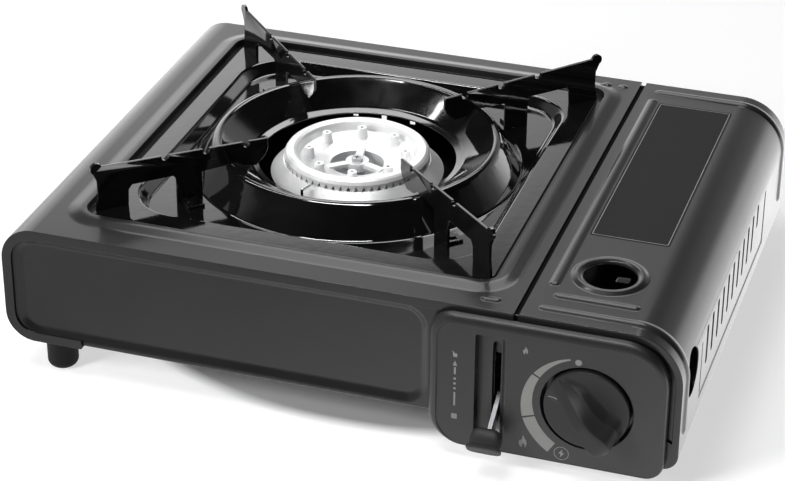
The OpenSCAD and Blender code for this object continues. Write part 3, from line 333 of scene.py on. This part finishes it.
def rounded_copy(node, material, fold, edge, change=None, room=1.05, crisp=1.0):
    """A copy of a CAD node: its folds drawn round by one width, its cut edges broken by another.
    Faces narrower than room times the width keep their edges, as do edges beyond x = crisp."""
    shape = bmesh.new()
    shape.from_mesh(frame["nodes"][node].data)
    bmesh.ops.remove_doubles(shape, verts=shape.verts, dist=2e-6)
    bmesh.ops.dissolve_limit(
        shape, angle_limit=radians(0.4), use_dissolve_boundaries=False,
        verts=shape.verts, edges=shape.edges)
    if change:
        change(shape)
    fold_steps, edge_steps, shortest_edge = 3, 2, 2.2
    for low, high, width, steps in ((11, 75, fold, fold_steps), (75, 181, edge, edge_steps)):
        chosen = [
            e for e in shape.edges if width and len(e.link_faces) == 2
            and radians(low) < e.calc_face_angle() <= radians(high)
            and (steps == fold_steps or e.calc_length() > shortest_edge * width)
            and min(v.co.x for v in e.verts) < crisp
            and min(f.calc_area() for f in e.link_faces) >= room * width * e.calc_length()]
        bmesh.ops.bevel(
            shape, geom=chosen, offset=width, offset_type="OFFSET", segments=steps,
            affect="EDGES", profile=0.5, material=-1, clamp_overlap=False, loop_slide=True)
    return piece_of(node + "_formed", shape, material, body_of(node), (node,))


charcoal_coat = finish(
    "charcoal_coat", ((0.011, 0.011, 0.0113), (0.015, 0.015, 0.0154)), (0.34, 0.42),
    scale=2600.0, depth=0.05, patch=9.0, Specular_IOR_Level=0.15, Coat_Weight=0.62, Coat_Roughness=0.15)
seam_x, seam_back = 0.09, 0.0007


def widen_seam(shape):
    """Draws the top's edge along the seam back from the lid."""
    for vert in shape.verts:
        if vert.co.x > seam_x - 0.0001 and vert.co.z > 0.06:
            vert.co.x -= seam_back


rounded_copy("housing_shell", charcoal_coat, 0.0012, 0.0003, widen_seam, crisp=seam_x - 0.0008)
rounded_copy("base_pan", charcoal_coat, 0.0009, 0.0003)

# Cartridge bay. A pressed pan in plain dark paint with a flat strip along its outer wall, on which
# the lid comes down. The folded partition is near black with little shine, as painted shade in its gap.
partition_painted_shade = finish(
    "partition_painted_shade", ((0.003, 0.003, 0.003), (0.005, 0.005, 0.005)), (0.7, 0.82),
    scale=1400.0, depth=0.05, patch=60.0, Specular_IOR_Level=0.05)
wear(partition_painted_shade, "bay_partition")
bay_coat = finish(
    "bay_coat", ((0.02, 0.02, 0.021), (0.028, 0.028, 0.029)), (0.45, 0.6), scale=2200.0, patch=20.0)
wear(bay_coat, "bay_pan")


def new_verts(grown):
    """The vertices among the parts that an extrusion made."""
    return [part for part in grown["geom"] if isinstance(part, bmesh.types.BMVert)]


bay_low, bay_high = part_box("bay_pan")
strip_wide, strip_thick, strip_z = 0.0143, 0.001, 0.0219
strip_long = bay_high.y - bay_low.y - 0.006
strip = bmesh.new()
bmesh.ops.create_cube(strip, size=1)
bmesh.ops.scale(strip, verts=strip.verts, vec=(strip_wide, strip_long, strip_thick))
bmesh.ops.translate(
    strip, verts=strip.verts, vec=(bay_high.x + 0.00615, (bay_low.y + bay_high.y) / 2, strip_z))
bmesh.ops.bisect_plane(
    strip, geom=strip.verts[:] + strip.edges[:] + strip.faces[:], plane_co=(bay_high.x, 0, 0),
    plane_no=(1, 0, 0))
foot = [f for f in strip.faces if f.normal.z < -0.9 and f.calc_center_median().x < bay_high.x]
wall = bmesh.ops.extrude_face_region(strip, geom=foot)
bmesh.ops.translate(strip, verts=new_verts(wall), vec=(0, 0, -0.0014))
bmesh.ops.delete(strip, geom=foot, context="FACES_ONLY")
bmesh.ops.recalc_face_normals(strip, faces=strip.faces)
piece_of("bay_flange", strip, bay_coat, body_of("bay_pan"))

# Feet and screws. Moulded rubber feet, two tall ones under the body and two short ones under the
# cartridge bay, each held by a plated screw sunk in its hollow.
foot_rubber = finish(
    "foot_rubber", ((0.006, 0.006, 0.006), (0.01, 0.01, 0.01)), (0.5, 0.66),
    scale=1500.0, depth=0.12, Specular_IOR_Level=0.25)
rounded_copy("left_feet", foot_rubber, 0.0, 0.0016)
wear(foot_rubber, "right_feet", "inlet_seal")
plated_steel = finish(
    "plated_steel", ((0.6, 0.61, 0.62), (0.74, 0.74, 0.75)), (0.2, 0.34),
    scale=2400.0, depth=0.05, patch=120.0, Metallic=1.0)
wear(plated_steel, "feet_screws", "shell_screws", "panel_screws", "burner_stud", "bracket_screws",
     "burner_cap_screw", "regulator_cover_screws", "regulator_mount_screws", "guide_pins",
     "lid_hinge_pins", "spark_electrode")

# Drip tray and pot supports. Deep-drawn steel in gloss black enamel, which pools thick on the
# ring and runs thin on the blades' edges; the four blades are riveted to the tray's floor.
black_enamel = finish(
    "black_enamel", ((0.003, 0.003, 0.0033), (0.005, 0.005, 0.0054)), (0.05, 0.11),
    scale=200.0, depth=0.04, patch=30.0, IOR=2.0)
rounded_copy("drip_tray", black_enamel, 0.0011, 0.0003, room=0)
for place in ("fl", "fr", "rr", "rl"):
    rounded_copy("pan_support_" + place, black_enamel, 0.0, 0.0003)
wear(black_enamel, "support_rivets")

# Burner. A die-cast aluminium base and cap, bright from machining and lightened near white as a painted
# highlight, on a bracket of zinc plated strip. The stud and the screws that hold them are plated steel.
alloy_with_painted_glare = finish(
    "alloy_with_painted_glare", ((0.88, 0.885, 0.89), (0.94, 0.94, 0.945)), (0.32, 0.44),
    scale=1600.0, depth=0.15, patch=70.0, Metallic=0.45)
wear(alloy_with_painted_glare, "burner_cap", "burner_base")
zinc_plate = finish(
    "zinc_plate", ((0.3, 0.305, 0.32), (0.42, 0.43, 0.44)), (0.34, 0.5),
    scale=1400.0, depth=0.08, patch=60.0, Metallic=1.0)
wear(zinc_plate, "burner_bracket")

# Gas line. Rough die-cast regulator and mixing tube, a zinc plated air shutter and cartridge guide,
# and a brass jet on the end of a drawn copper pipe.
cast_alloy = finish(
    "cast_alloy", ((0.5, 0.5, 0.51), (0.62, 0.62, 0.63)), (0.38, 0.55),
    scale=1200.0, depth=0.25, patch=45.0, Metallic=1.0)
wear(cast_alloy, "mixing_tube", "regulator_body", "regulator_cover")
wear(zinc_plate, "air_shutter", "cartridge_guide")
turned_brass = finish(
    "turned_brass", ((0.62, 0.45, 0.2), (0.75, 0.58, 0.3)), (0.25, 0.38),
    scale=1800.0, depth=0.06, patch=80.0, Metallic=1.0)
wear(turned_brass, "gas_jet", "valve_spindle")
drawn_copper = finish(
    "drawn_copper", ((0.62, 0.33, 0.2), (0.75, 0.43, 0.28)), (0.28, 0.42),
    scale=1500.0, depth=0.05, patch=60.0, Metallic=1.0)
wear(drawn_copper, "gas_pipe")

# Igniter. Cream mouldings, a white sleeve on the lead and a glazed porcelain insulator. Plated
# clips and a bracket hold the lead and the electrode in place.
cream_plastic = finish(
    "cream_plastic", ((0.66, 0.63, 0.55), (0.74, 0.71, 0.63)), (0.35, 0.5), scale=1500.0, depth=0.05)
wear(cream_plastic, "igniter_cam", "piezo_igniter", "piezo_plunger")
white_sleeve = finish(
    "white_sleeve", ((0.7, 0.7, 0.68), (0.78, 0.78, 0.76)), (0.3, 0.45), scale=900.0, depth=0.04)
wear(white_sleeve, "ignition_lead")
porcelain = finish(
    "porcelain", ((0.8, 0.78, 0.73), (0.86, 0.84, 0.8)), (0.12, 0.22), scale=500.0, depth=0.04)
wear(porcelain, "electrode_insulator")
wear(zinc_plate, "electrode_bracket", "lead_clips")

# Control panel. One moulding in charcoal plastic with a fine spark-eroded grain: a flat face with
# a wide round at its top and left, a trough for the locking lever and a round seat for the knob.
panel_plastic = finish(
    "panel_plastic", ((0.0145, 0.0145, 0.0147), (0.018, 0.018, 0.0182)), (0.36, 0.44),
    scale=3200.0, depth=0.09, patch=12.0)


def round_corners(box, radii, steps=12):
    """Points round a rectangle from its lower left corner, each corner with its own radius."""
    x0, z0, x1, z1 = box
    corners = ((x0, z0, 1, 1, 180), (x1, z0, -1, 1, 270), (x1, z1, -1, -1, 0), (x0, z1, 1, -1, 90))
    points = []
    for (x, z, right, up, start), r in zip(corners, radii):
        for i in range(steps + 1):
            a = radians(start + 90 * i / steps)
            points.append((x + right * r + r * cos(a), z + up * r + r * sin(a)))
    return points


def first_ring(shape, points, depths):
    """A closed ring of edges through points in the XZ plane, each at its own depth."""
    ring = bmesh.ops.create_circle(shape, cap_ends=False, radius=1.0, segments=len(points))["verts"]
    for vert, (x, z), y in zip(ring, points, depths):
        vert.co = (x, y, z)
    return ring


def next_ring(shape, ring, points, depths):
    """Extrudes a ring and puts the new one through other points, each at its own depth."""
    sides = [shape.edges.get((ring[i - 1], ring[i])) for i in range(len(ring))]
    fresh = set(new_verts(bmesh.ops.extrude_edge_only(shape, edges=sides)))
    following = []
    for vert in ring:
        following.append(next(e.other_vert(vert) for e in vert.link_edges if e.other_vert(vert) in fresh))
    for vert, (x, z), y in zip(following, points, depths):
        vert.co = (x, y, z)
    return following


def ring_edges(shape, *rings):
    """The edges of closed rings of vertices."""
    return [shape.edges.get((ring[i - 1], ring[i])) for ring in rings for i in range(len(ring))]


def rim_width(x, z, box, wide, narrow):
    """Width of the panel's round: wide at its left and top, narrow at its right and bottom."""
    x0, z0, x1, z1 = box
    left = max(0.0, 1 - (x - x0) / 0.016)
    top = max(0.0, 1 - (z1 - z) / 0.016)
    right = max(0.0, 1 - (x1 - x) / 0.012)
    low = max(0.0, 1 - (z - z0) / 0.012)
    return narrow + (wide - narrow) * max(left, top) ** 0.5 * (1 - max(right * (1 - top), low) ** 2)


panel_low, panel_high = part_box("control_panel")
panel_front = panel_low.y
panel_back = panel_front + 0.0057
panel_face = panel_front + 0.0008
panel_box = (panel_low.x, panel_low.z, panel_high.x, panel_high.z)
panel_radii = (0.017, 0.009, 0.022, 0.012)
knob_low, knob_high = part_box("control_knob")
knob_x, knob_z = (knob_low.x + knob_high.x) / 2, (knob_low.z + knob_high.z) / 2
lever_x = knob_x - 0.044

panel = bmesh.new()
outer = round_corners(panel_box, panel_radii)
widths = [rim_width(x, z, panel_box, 0.0044, 0.0012) for x, z in outer]
inner_box = (panel_low.x + 0.0044, panel_low.z + 0.0012, panel_high.x - 0.0012, panel_high.z - 0.0044)
inner = round_corners(inner_box, (0.0135, 0.008, 0.019, 0.0085))
steps = [max(0.0001, 0.0007 * (w - 0.0012) / 0.0032) for w in widths]
stand_off = [0.0019 * max(0.0, 1 - (panel_high.z - z) / 0.006) for x, z in outer]
back_ring = first_ring(panel, outer, [panel_back - gap for gap in stand_off])
ring = back_ring
for i in range(7):
    t = radians(90 * i / 6)
    places = [(p[0] + (q[0] - p[0]) * (1 - cos(t)), p[1] + (q[1] - p[1]) * (1 - cos(t)))
              for p, q in zip(outer, inner)]
    depths = [panel_front + 0.0008 - s + min(0.0042, w * 1.6) * (1 - sin(t)) for s, w in zip(steps, widths)]
    ring = next_ring(panel, ring, places, depths)
for share, sink in ((0.12, 0.25), (0.25, 0.75), (0.45, 1.0), (0.9, 1.0)):
    places = []
    for (x, z), step in zip(inner, steps):
        toward = Vector(((panel_low.x + panel_high.x) / 2 - x, (panel_low.z + panel_high.z) / 2 - z))
        move = toward.normalized() * share * (step + 0.0008)
        places.append((x + move.x, z + move.y))
    depths = [panel_face - s * (1 - sink) for s in steps]
    ring = next_ring(panel, ring, places, depths)
face_ring = ring

trough = (lever_x - 0.0100, knob_z - 0.027, lever_x + 0.0052, knob_z + 0.030)
floor_box = (trough[0] + 0.0006, trough[1] + 0.0018, trough[2] - 0.0028, trough[3] - 0.0010)
trough_top = round_corners(trough, (0.001, 0.0015, 0.0015, 0.001), 4)
trough_low = round_corners(floor_box, (0.0006,) * 4, 4)
trough_ring = first_ring(panel, trough_top, [panel_face] * len(trough_top))
ring = trough_ring
for t, sink in ((0.08, 0.02), (0.3, 0.2), (0.6, 0.6), (0.85, 0.93), (1.0, 1.0)):
    places = [(p[0] + (q[0] - p[0]) * t, p[1] + (q[1] - p[1]) * t) for p, q in zip(trough_top, trough_low)]
    depths = []
    for x, z in places:
        across = (x - trough[0]) / (trough[2] - trough[0])
        depths.append(panel_face + sink * (0.0036 - 0.0016 * across))
    ring = next_ring(panel, ring, places, depths)
trough_floor = ring
slot_half = 0.00215
slot_points = round_corners(
    (lever_x - slot_half, knob_z - 0.026, lever_x + slot_half, knob_z + 0.0265), (0.002,) * 4, 4)
slot_ring = first_ring(panel, slot_points, [
    panel_face + 0.0036 - 0.0016 * (x - trough[0]) / (trough[2] - trough[0]) for x, z in slot_points])
slot_back = next_ring(panel, slot_ring, slot_points, [panel_back] * len(slot_points))


def round_the_knob(r, sides=72):
    """Points of a circle about the knob's axis."""
    turns = [2 * pi * i / sides for i in range(sides)]
    return [(knob_x + r * cos(a), knob_z + r * sin(a)) for a in turns]


seat_points, lip_points = round_the_knob(0.0220), round_the_knob(0.0223)
seat_ring = first_ring(panel, lip_points, [panel_face] * len(lip_points))
seat_wall = next_ring(panel, seat_ring, seat_points, [panel_face + 0.0004] * len(seat_points))
seat_back = next_ring(panel, seat_wall, seat_points, [panel_back] * len(seat_points))
panel_sides = (face_ring, trough_ring, seat_ring), (trough_floor, slot_ring), (back_ring, slot_back, seat_back)
for rings in panel_sides:
    bmesh.ops.triangle_fill(panel, use_beauty=True, use_dissolve=False, edges=ring_edges(panel, *rings))
for x, z in ((panel_low.x + 0.009, panel_low.z + 0.023), (panel_low.x + 0.009, panel_high.z - 0.009),
             (knob_x + 0.020, panel_low.z + 0.012), (knob_x + 0.024, panel_high.z - 0.013)):
    boss = Matrix.Translation((x, panel_back + 0.0007, z)) @ Matrix.Rotation(radians(90), 4, "X")
    bmesh.ops.create_cone(
        panel, cap_ends=True, segments=32, radius1=0.0036, radius2=0.0036, depth=0.0022, matrix=boss)
bmesh.ops.recalc_face_normals(panel, faces=panel.faces)
piece_of("panel_moulding", panel, panel_plastic, "stove", ("control_panel",), sharp=50)

# Dial marks. Pale grey ink printed on the panel: a band that widens with the flame, an off dot, a
# spark in a ring, a small and a large flame, and the scale of the locking lever.
mark_ink = finish(
    "mark_ink", ((0.2, 0.2, 0.195), (0.26, 0.26, 0.25)), (0.5, 0.65), scale=1800.0, depth=0.03)
marks = bmesh.new()
ink_rise = 0.00003


def ink_shape(points):
    """One flat printed shape from its outline on the panel's face, in millimetres from the knob."""
    places = [(knob_x + 0.001 * x, knob_z + 0.001 * z) for x, z in points]
    ring = first_ring(marks, places, [panel_face - ink_rise] * len(places))
    face = bmesh.ops.contextual_create(marks, geom=ring_edges(marks, ring))["faces"]
    base = bmesh.ops.extrude_face_region(marks, geom=face)
    bmesh.ops.translate(marks, verts=new_verts(base), vec=(0, 2 * ink_rise, 0))


def ink_band(start, end, inner, outer, centre=(0, 0)):
    """A printed arc between two angles; inner and outer give its radii at both ends."""
    turns = max(3, int(abs(end - start) / 3))
    along = [i / turns for i in range(turns + 1)]
    points = []
    for (first, last), order in ((inner, along), (outer, along[::-1])):
        for t in order:
            r, a = first + (last - first) * t, radians(start + (end - start) * t)
            points.append((centre[0] + r * cos(a), centre[1] + r * sin(a)))
    ink_shape(points)


def ink_dot(x, z, r, sides=20):
    """A printed dot."""
    ink_shape([(x + r * cos(2 * pi * i / sides), z + r * sin(2 * pi * i / sides)) for i in range(sides)])


def ink_flame(x, z, size):
    """A printed flame with a hollow foot."""
    outline = ((0, 1), (0.16, 0.62), (0.4, 0.28), (0.5, -0.12), (0.42, -0.5), (0.2, -0.78), (0.24, -0.42),
               (0.06, -0.12), (-0.08, -0.5), (-0.14, -0.82), (-0.4, -0.58), (-0.52, -0.2), (-0.44, 0.14),
               (-0.3, 0.36), (-0.2, 0.1), (-0.1, 0.5))
    ink_shape([(x + size * a, z + size * b) for a, b in outline])


ink_band(109, 150.6, (26.2, 26.0), (26.9, 29.6))
ink_band(152.4, 198.2, (26.0, 26.0), (29.8, 32.2))
ink_band(199.9, 237, (26.0, 26.0), (32.2, 32.5))
ink_dot(-4.8, 24.3, 1.6)
ink_flame(-29.9, 25.7, 2.4)
ink_flame(-29.7, -24.4, 3.9)
for start in (0, 180):
    ink_band(start, start + 180, (3.3, 3.3), (3.6, 3.6), (-11, -26.8))
ink_shape([(-11 + x, -26.8 + z) for x, z in (
    (0.5, 2.3), (-1.5, -0.3), (-0.3, -0.1), (-0.6, -2.3), (1.5, 0.4), (0.3, 0.3))])
scale_x = lever_x * 1000 - knob_x * 1000 - 19.5
for low, high in ((-11, -3.6), (6.3, 10.2)):
    ink_shape([(scale_x + x, z) for x, z in ((-0.45, low), (0.45, low), (0.45, high), (-0.45, high))])
for z in (-1.5, 1.2, 3.9):
    ink_dot(scale_x, z, 0.65, 12)
ink_shape([(scale_x + x, 12.4 + z) for x, z in ((-1.1, -1.4), (1.1, -1.4), (0.0, 1.4))])
ink_shape([(scale_x + x, -16.9 + z) for x, z in ((-1.4, -1.4), (1.4, -1.4), (1.4, 1.4), (-1.4, 1.4))])
ink_shape([(scale_x + x, 17.1 + z) for x, z in (
    (-1.0, -1.3), (1.0, -1.3), (1.0, 0.6), (-0.2, 0.6), (-0.7, 1.4), (-1.6, 1.8), (-1.0, 0.7))])
bmesh.ops.recalc_face_normals(marks, faces=marks.faces)
piece_of("dial_marks", marks, mark_ink, "stove", sharp=30)

# Knob. A turned-over disc in the panel's plastic with a bar grip across it: the bar swells to a
# round end over the pointer side, and its upper flank breaks at a crease into a hollow.
knob_plastic = finish(
    "knob_plastic", ((0.016, 0.016, 0.0162), (0.02, 0.02, 0.0202)), (0.5, 0.58),
    scale=3000.0, depth=0.07, patch=20.0, Specular_IOR_Level=0.4)
knob = bmesh.new()
disc_y, disc_r, disc_round, hub_r = panel_front - 0.0006, 0.0204, 0.0008, 0.006
grip_tall, grip_swell, grip_tip = 13.4, 12.8, 19.5
bmesh.ops.create_grid(knob, x_segments=120, y_segments=120, size=1)


def smooth_step(low, high, value):
    """0 below low, 1 above high, and an even ease between."""
    t = min(1.0, max(0.0, (value - low) / (high - low)))
    return t * t * (3 - 2 * t)


def grip_height(u, v):
    """How far the grip stands over the disc at u along the bar and v across it, in millimetres."""
    bar_end = 1 - (max(0.0, u - grip_swell) / (grip_tip - grip_swell)) ** 2
    if bar_end <= 0:
        return 0.0
    reach = sqrt(bar_end)
    top = grip_tall * smooth_step(-22, 3, u) * (0.7 + 0.3 * reach)
    if v < 0:
        brow = (3.4 + 2.4 * smooth_step(0, 12, u)) * reach
        foot = brow + 2.4 + 6 * (1 - smooth_step(-21, 1, u))
        return top * (1 - smooth_step(brow, foot, -v))
    half = (1 + 1.4 * smooth_step(-12, 0, u) + 1.2 * smooth_step(5, 14, u)) * reach
    crease = (3 + 3.2 * smooth_step(-20, -6, u) + 1.6 * smooth_step(6, 14, u)) * reach
    crease_h = top * (0.5 - 0.14 * smooth_step(2, 16, u))
    if v <= half:
        return top - 0.3 * (v / half) ** 2
    if v <= crease:
        return crease_h + (top - 0.3 - crease_h) * ((crease - v) / (crease - half)) ** 1.2
    t = (v - crease) / 3.4
    return max(0.0, crease_h * (1 - t) ** 2) if t < 1 else 0.0


flat = disc_r - disc_round
for vert in knob.verts:
    x, z = vert.co.x, vert.co.y
    u, v = x * sqrt(1 - z * z / 2) * flat, z * sqrt(1 - x * x / 2) * flat
    height = 0.001 * grip_height(1000 * u, 1000 * v)
    vert.co = (knob_x + (u + v) * sqrt(0.5), disc_y - height, knob_z + (v - u) * sqrt(0.5))


def turned_ring(rim, r, y):
    """Extrudes the knob's rim and puts the new one on a circle of radius r at depth y."""
    grown = bmesh.ops.extrude_edge_only(knob, edges=rim)["geom"]
    rim = [part for part in grown if isinstance(part, bmesh.types.BMEdge) and part.is_boundary]
    for vert in {v for e in rim for v in e.verts}:
        out = Vector((vert.co.x - knob_x, vert.co.z - knob_z)).normalized()
        vert.co = (knob_x + out.x * r, y, knob_z + out.y * r)
    return rim


round_over = [(flat + disc_round * sin(t), disc_y + disc_round * (1 - cos(t)))
              for t in (radians(22.5 * i) for i in range(1, 5))]
skirt_y, hub_y = panel_front + 0.003, panel_front + 0.0064
rim = [e for e in knob.edges if e.is_boundary]
for r, y in round_over + [(disc_r, skirt_y), (hub_r, skirt_y), (hub_r, hub_y)]:
    rim = turned_ring(rim, r, y)
bmesh.ops.contextual_create(knob, geom=rim)
bmesh.ops.recalc_face_normals(knob, faces=knob.faces)
piece_of("knob_moulding", knob, knob_plastic, body_of("control_knob"), ("control_knob",), sharp=60)

# Pointer line. A pale line filled with the dial's ink into a fine groove across the foot of the
# knob's grip, so it follows the grip's rise and turns with the knob.
pointer = bmesh.new()
bmesh.ops.create_grid(pointer, x_segments=12, y_segments=2, size=0.5)
for vert in pointer.verts:
    x, z = -15.6 - 5 * vert.co.x, 5.0 - 1.1 * vert.co.x + 0.5 * vert.co.y
    height = 0.001 * grip_height((x - z) * sqrt(0.5), (x + z) * sqrt(0.5))
    vert.co = (knob_x + 0.001 * x, disc_y - height - 0.00006, knob_z + 0.001 * z)
deep = bmesh.ops.extrude_face_region(pointer, geom=pointer.faces[:])
bmesh.ops.translate(pointer, verts=new_verts(deep), vec=(0, 0.0002, 0))
bmesh.ops.recalc_face_normals(pointer, faces=pointer.faces)
piece_of("knob_pointer", pointer, mark_ink, body_of("control_knob"), sharp=30)

# Locking lever. A bare steel blade swings in a slot on a bracket and pins of the same steel. Its free
# end is moulded into a humped thumb grip, lofted through round-cornered sections, with a lip.
dark_steel = finish(
    "dark_steel", ((0.16, 0.16, 0.165), (0.24, 0.24, 0.25)), (0.4, 0.55),
    scale=1500.0, depth=0.08, patch=80.0, Metallic=1.0)
wear(dark_steel, "lever_blade", "lever_bracket", "lever_drive_pin", "lever_pivot_pin")
grip_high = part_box("lever_handle")[1]
lever_pivot = Vector((lever_x - 0.0012, grip_high.y + 0.0272, knob_z + 0.001))
lever_dip = radians(33)
lever_along = Vector((0, -cos(lever_dip), -sin(lever_dip)))
lever_over = Vector((0, -sin(lever_dip), cos(lever_dip)))
section_sides, section_round = 48, 0.55
thumb, ring = bmesh.new(), None
for s, wide, over, under in (
        (35.9, 8.9, 2.6, 2.6), (36.2, 11.0, 3.9, 3.7), (37.2, 13.2, 4.8, 4.5), (39.2, 14.5, 5.1, 5.0),
        (41.6, 15.1, 4.8, 4.6), (43.4, 15.3, 3.9, 4.1), (44.5, 15.4, 3.1, 4.0), (44.9, 17.0, 3.5, 4.1),
        (45.7, 17.1, 3.3, 4.1), (46.1, 16.4, 2.7, 3.8), (46.3, 14.8, 1.8, 3.2)):
    points, depths = [], []
    for i in range(section_sides):
        a = 2 * pi * i / section_sides
        x = abs(cos(a)) ** section_round * (1 if cos(a) > 0 else -1) * wide / 2
        n = abs(sin(a)) ** section_round * (over if sin(a) > 0 else -under)
        place = lever_pivot + lever_along * (0.001 * s) + lever_over * (0.001 * n)
        points.append((place.x + 0.001 * x, place.z))
        depths.append(place.y)
    if ring is None:
        ring = first_ring(thumb, points, depths)
        bmesh.ops.contextual_create(thumb, geom=ring_edges(thumb, ring))
    else:
        ring = next_ring(thumb, ring, points, depths)
bmesh.ops.contextual_create(thumb, geom=ring_edges(thumb, ring))
bmesh.ops.recalc_face_normals(thumb, faces=thumb.faces)
piece_of("thumb_grip", thumb, knob_plastic, body_of("lever_handle"), ("lever_handle",), sharp=50)


# Cartridge lid. Pressed and coated as the housing is, with rolled beads, a lipped sight hole and
# slots in its wall. A blank label with a pale outline is stuck on its top.
def open_slots(shape):
    """Widens the lid's wall slots, rounds their ends and broadens the grooves round their field."""
    lid_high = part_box("cartridge_lid")[1]
    wall_x = lid_high.x - 0.0025
    groove_y, groove_z = lid_high.y - 0.0588, 0.0256
    slot_start, slot_pitch, slot_gap, last_slot = -0.0636, 0.0125, 0.0021, 10
    slot_low, slot_high = 0.036, 0.0585
    near, grown, broader = 0.0002, 0.001, 0.0014
    for vert in shape.verts:
        x, y, z = vert.co
        if x < wall_x:
            continue
        step, part = divmod(y - slot_start, slot_pitch)
        if slot_low < z < slot_high and 0 <= step <= last_slot:
            if part < near:
                vert.co.y -= grown
            elif abs(part - slot_gap) < near:
                vert.co.y += grown
        if abs(z - groove_z) < 2e-5 and -0.076 < y < groove_y + 0.002:
            vert.co.z += broader
        if abs(y - groove_y - 0.0016) < 2e-5 and 0.0239 < z < 0.06:
            vert.co.y += broader
    corners = [
        e for e in shape.edges
        if abs(e.verts[0].co.x - e.verts[1].co.x) > 0.0008
        and all(v.co.x > wall_x and slot_low < v.co.z < slot_high and -0.066 < v.co.y < 0.066
                for v in e.verts)]
    bmesh.ops.bevel(
        shape, geom=corners, offset=0.0018, offset_type="OFFSET", segments=4,
        affect="EDGES", profile=0.5, material=-1, clamp_overlap=False, loop_slide=True)


rounded_copy("cartridge_lid", charcoal_coat, 0.00065, 0.0003, open_slots)
label_film = finish(
    "label_film", ((0.004, 0.004, 0.0043), (0.006, 0.006, 0.0064)), (0.3, 0.36),
    scale=900.0, depth=0.02, Specular_IOR_Level=0.08)
label_z = 0.08
label_box = (0.1038, -0.0345, 0.1434, 0.1175)


def flat_sheet(name, rings, bottom, top, material):
    """A thin flat sheet in the lid's plane between an outer and an optional inner ring of points."""
    sheet = bmesh.new()
    loops = []
    for points in rings:
        loop = bmesh.ops.create_circle(sheet, cap_ends=False, radius=1.0, segments=len(points))["verts"]
        for vert, (x, y) in zip(loop, points):
            vert.co = (x, y, top)
        loops.append(loop)
    made = bmesh.ops.triangle_fill(
        sheet, use_beauty=True, use_dissolve=False, edges=ring_edges(sheet, *loops))
    faces = [part for part in made["geom"] if isinstance(part, bmesh.types.BMFace)]
    for vert in new_verts(bmesh.ops.extrude_face_region(sheet, geom=faces)):
        vert.co.z = bottom
    bmesh.ops.recalc_face_normals(sheet, faces=sheet.faces)
    return piece_of(name, sheet, material, body_of("cartridge_lid"), sharp=30)


def inset_box(box, inset):
    """A box shrunk on all sides."""
    return (box[0] + inset, box[1] + inset, box[2] - inset, box[3] - inset)


flat_sheet(
    "blank_label", [round_corners(label_box, (0.0015,) * 4, 4)],
    label_z - 0.0002, label_z + 0.00008, label_film)
flat_sheet("label_outline", [
    round_corners(inset_box(label_box, 0.0009), (0.001,) * 4, 4),
    round_corners(inset_box(label_box, 0.0013), (0.0008,) * 4, 4)], label_z, label_z + 0.0001, mark_ink)
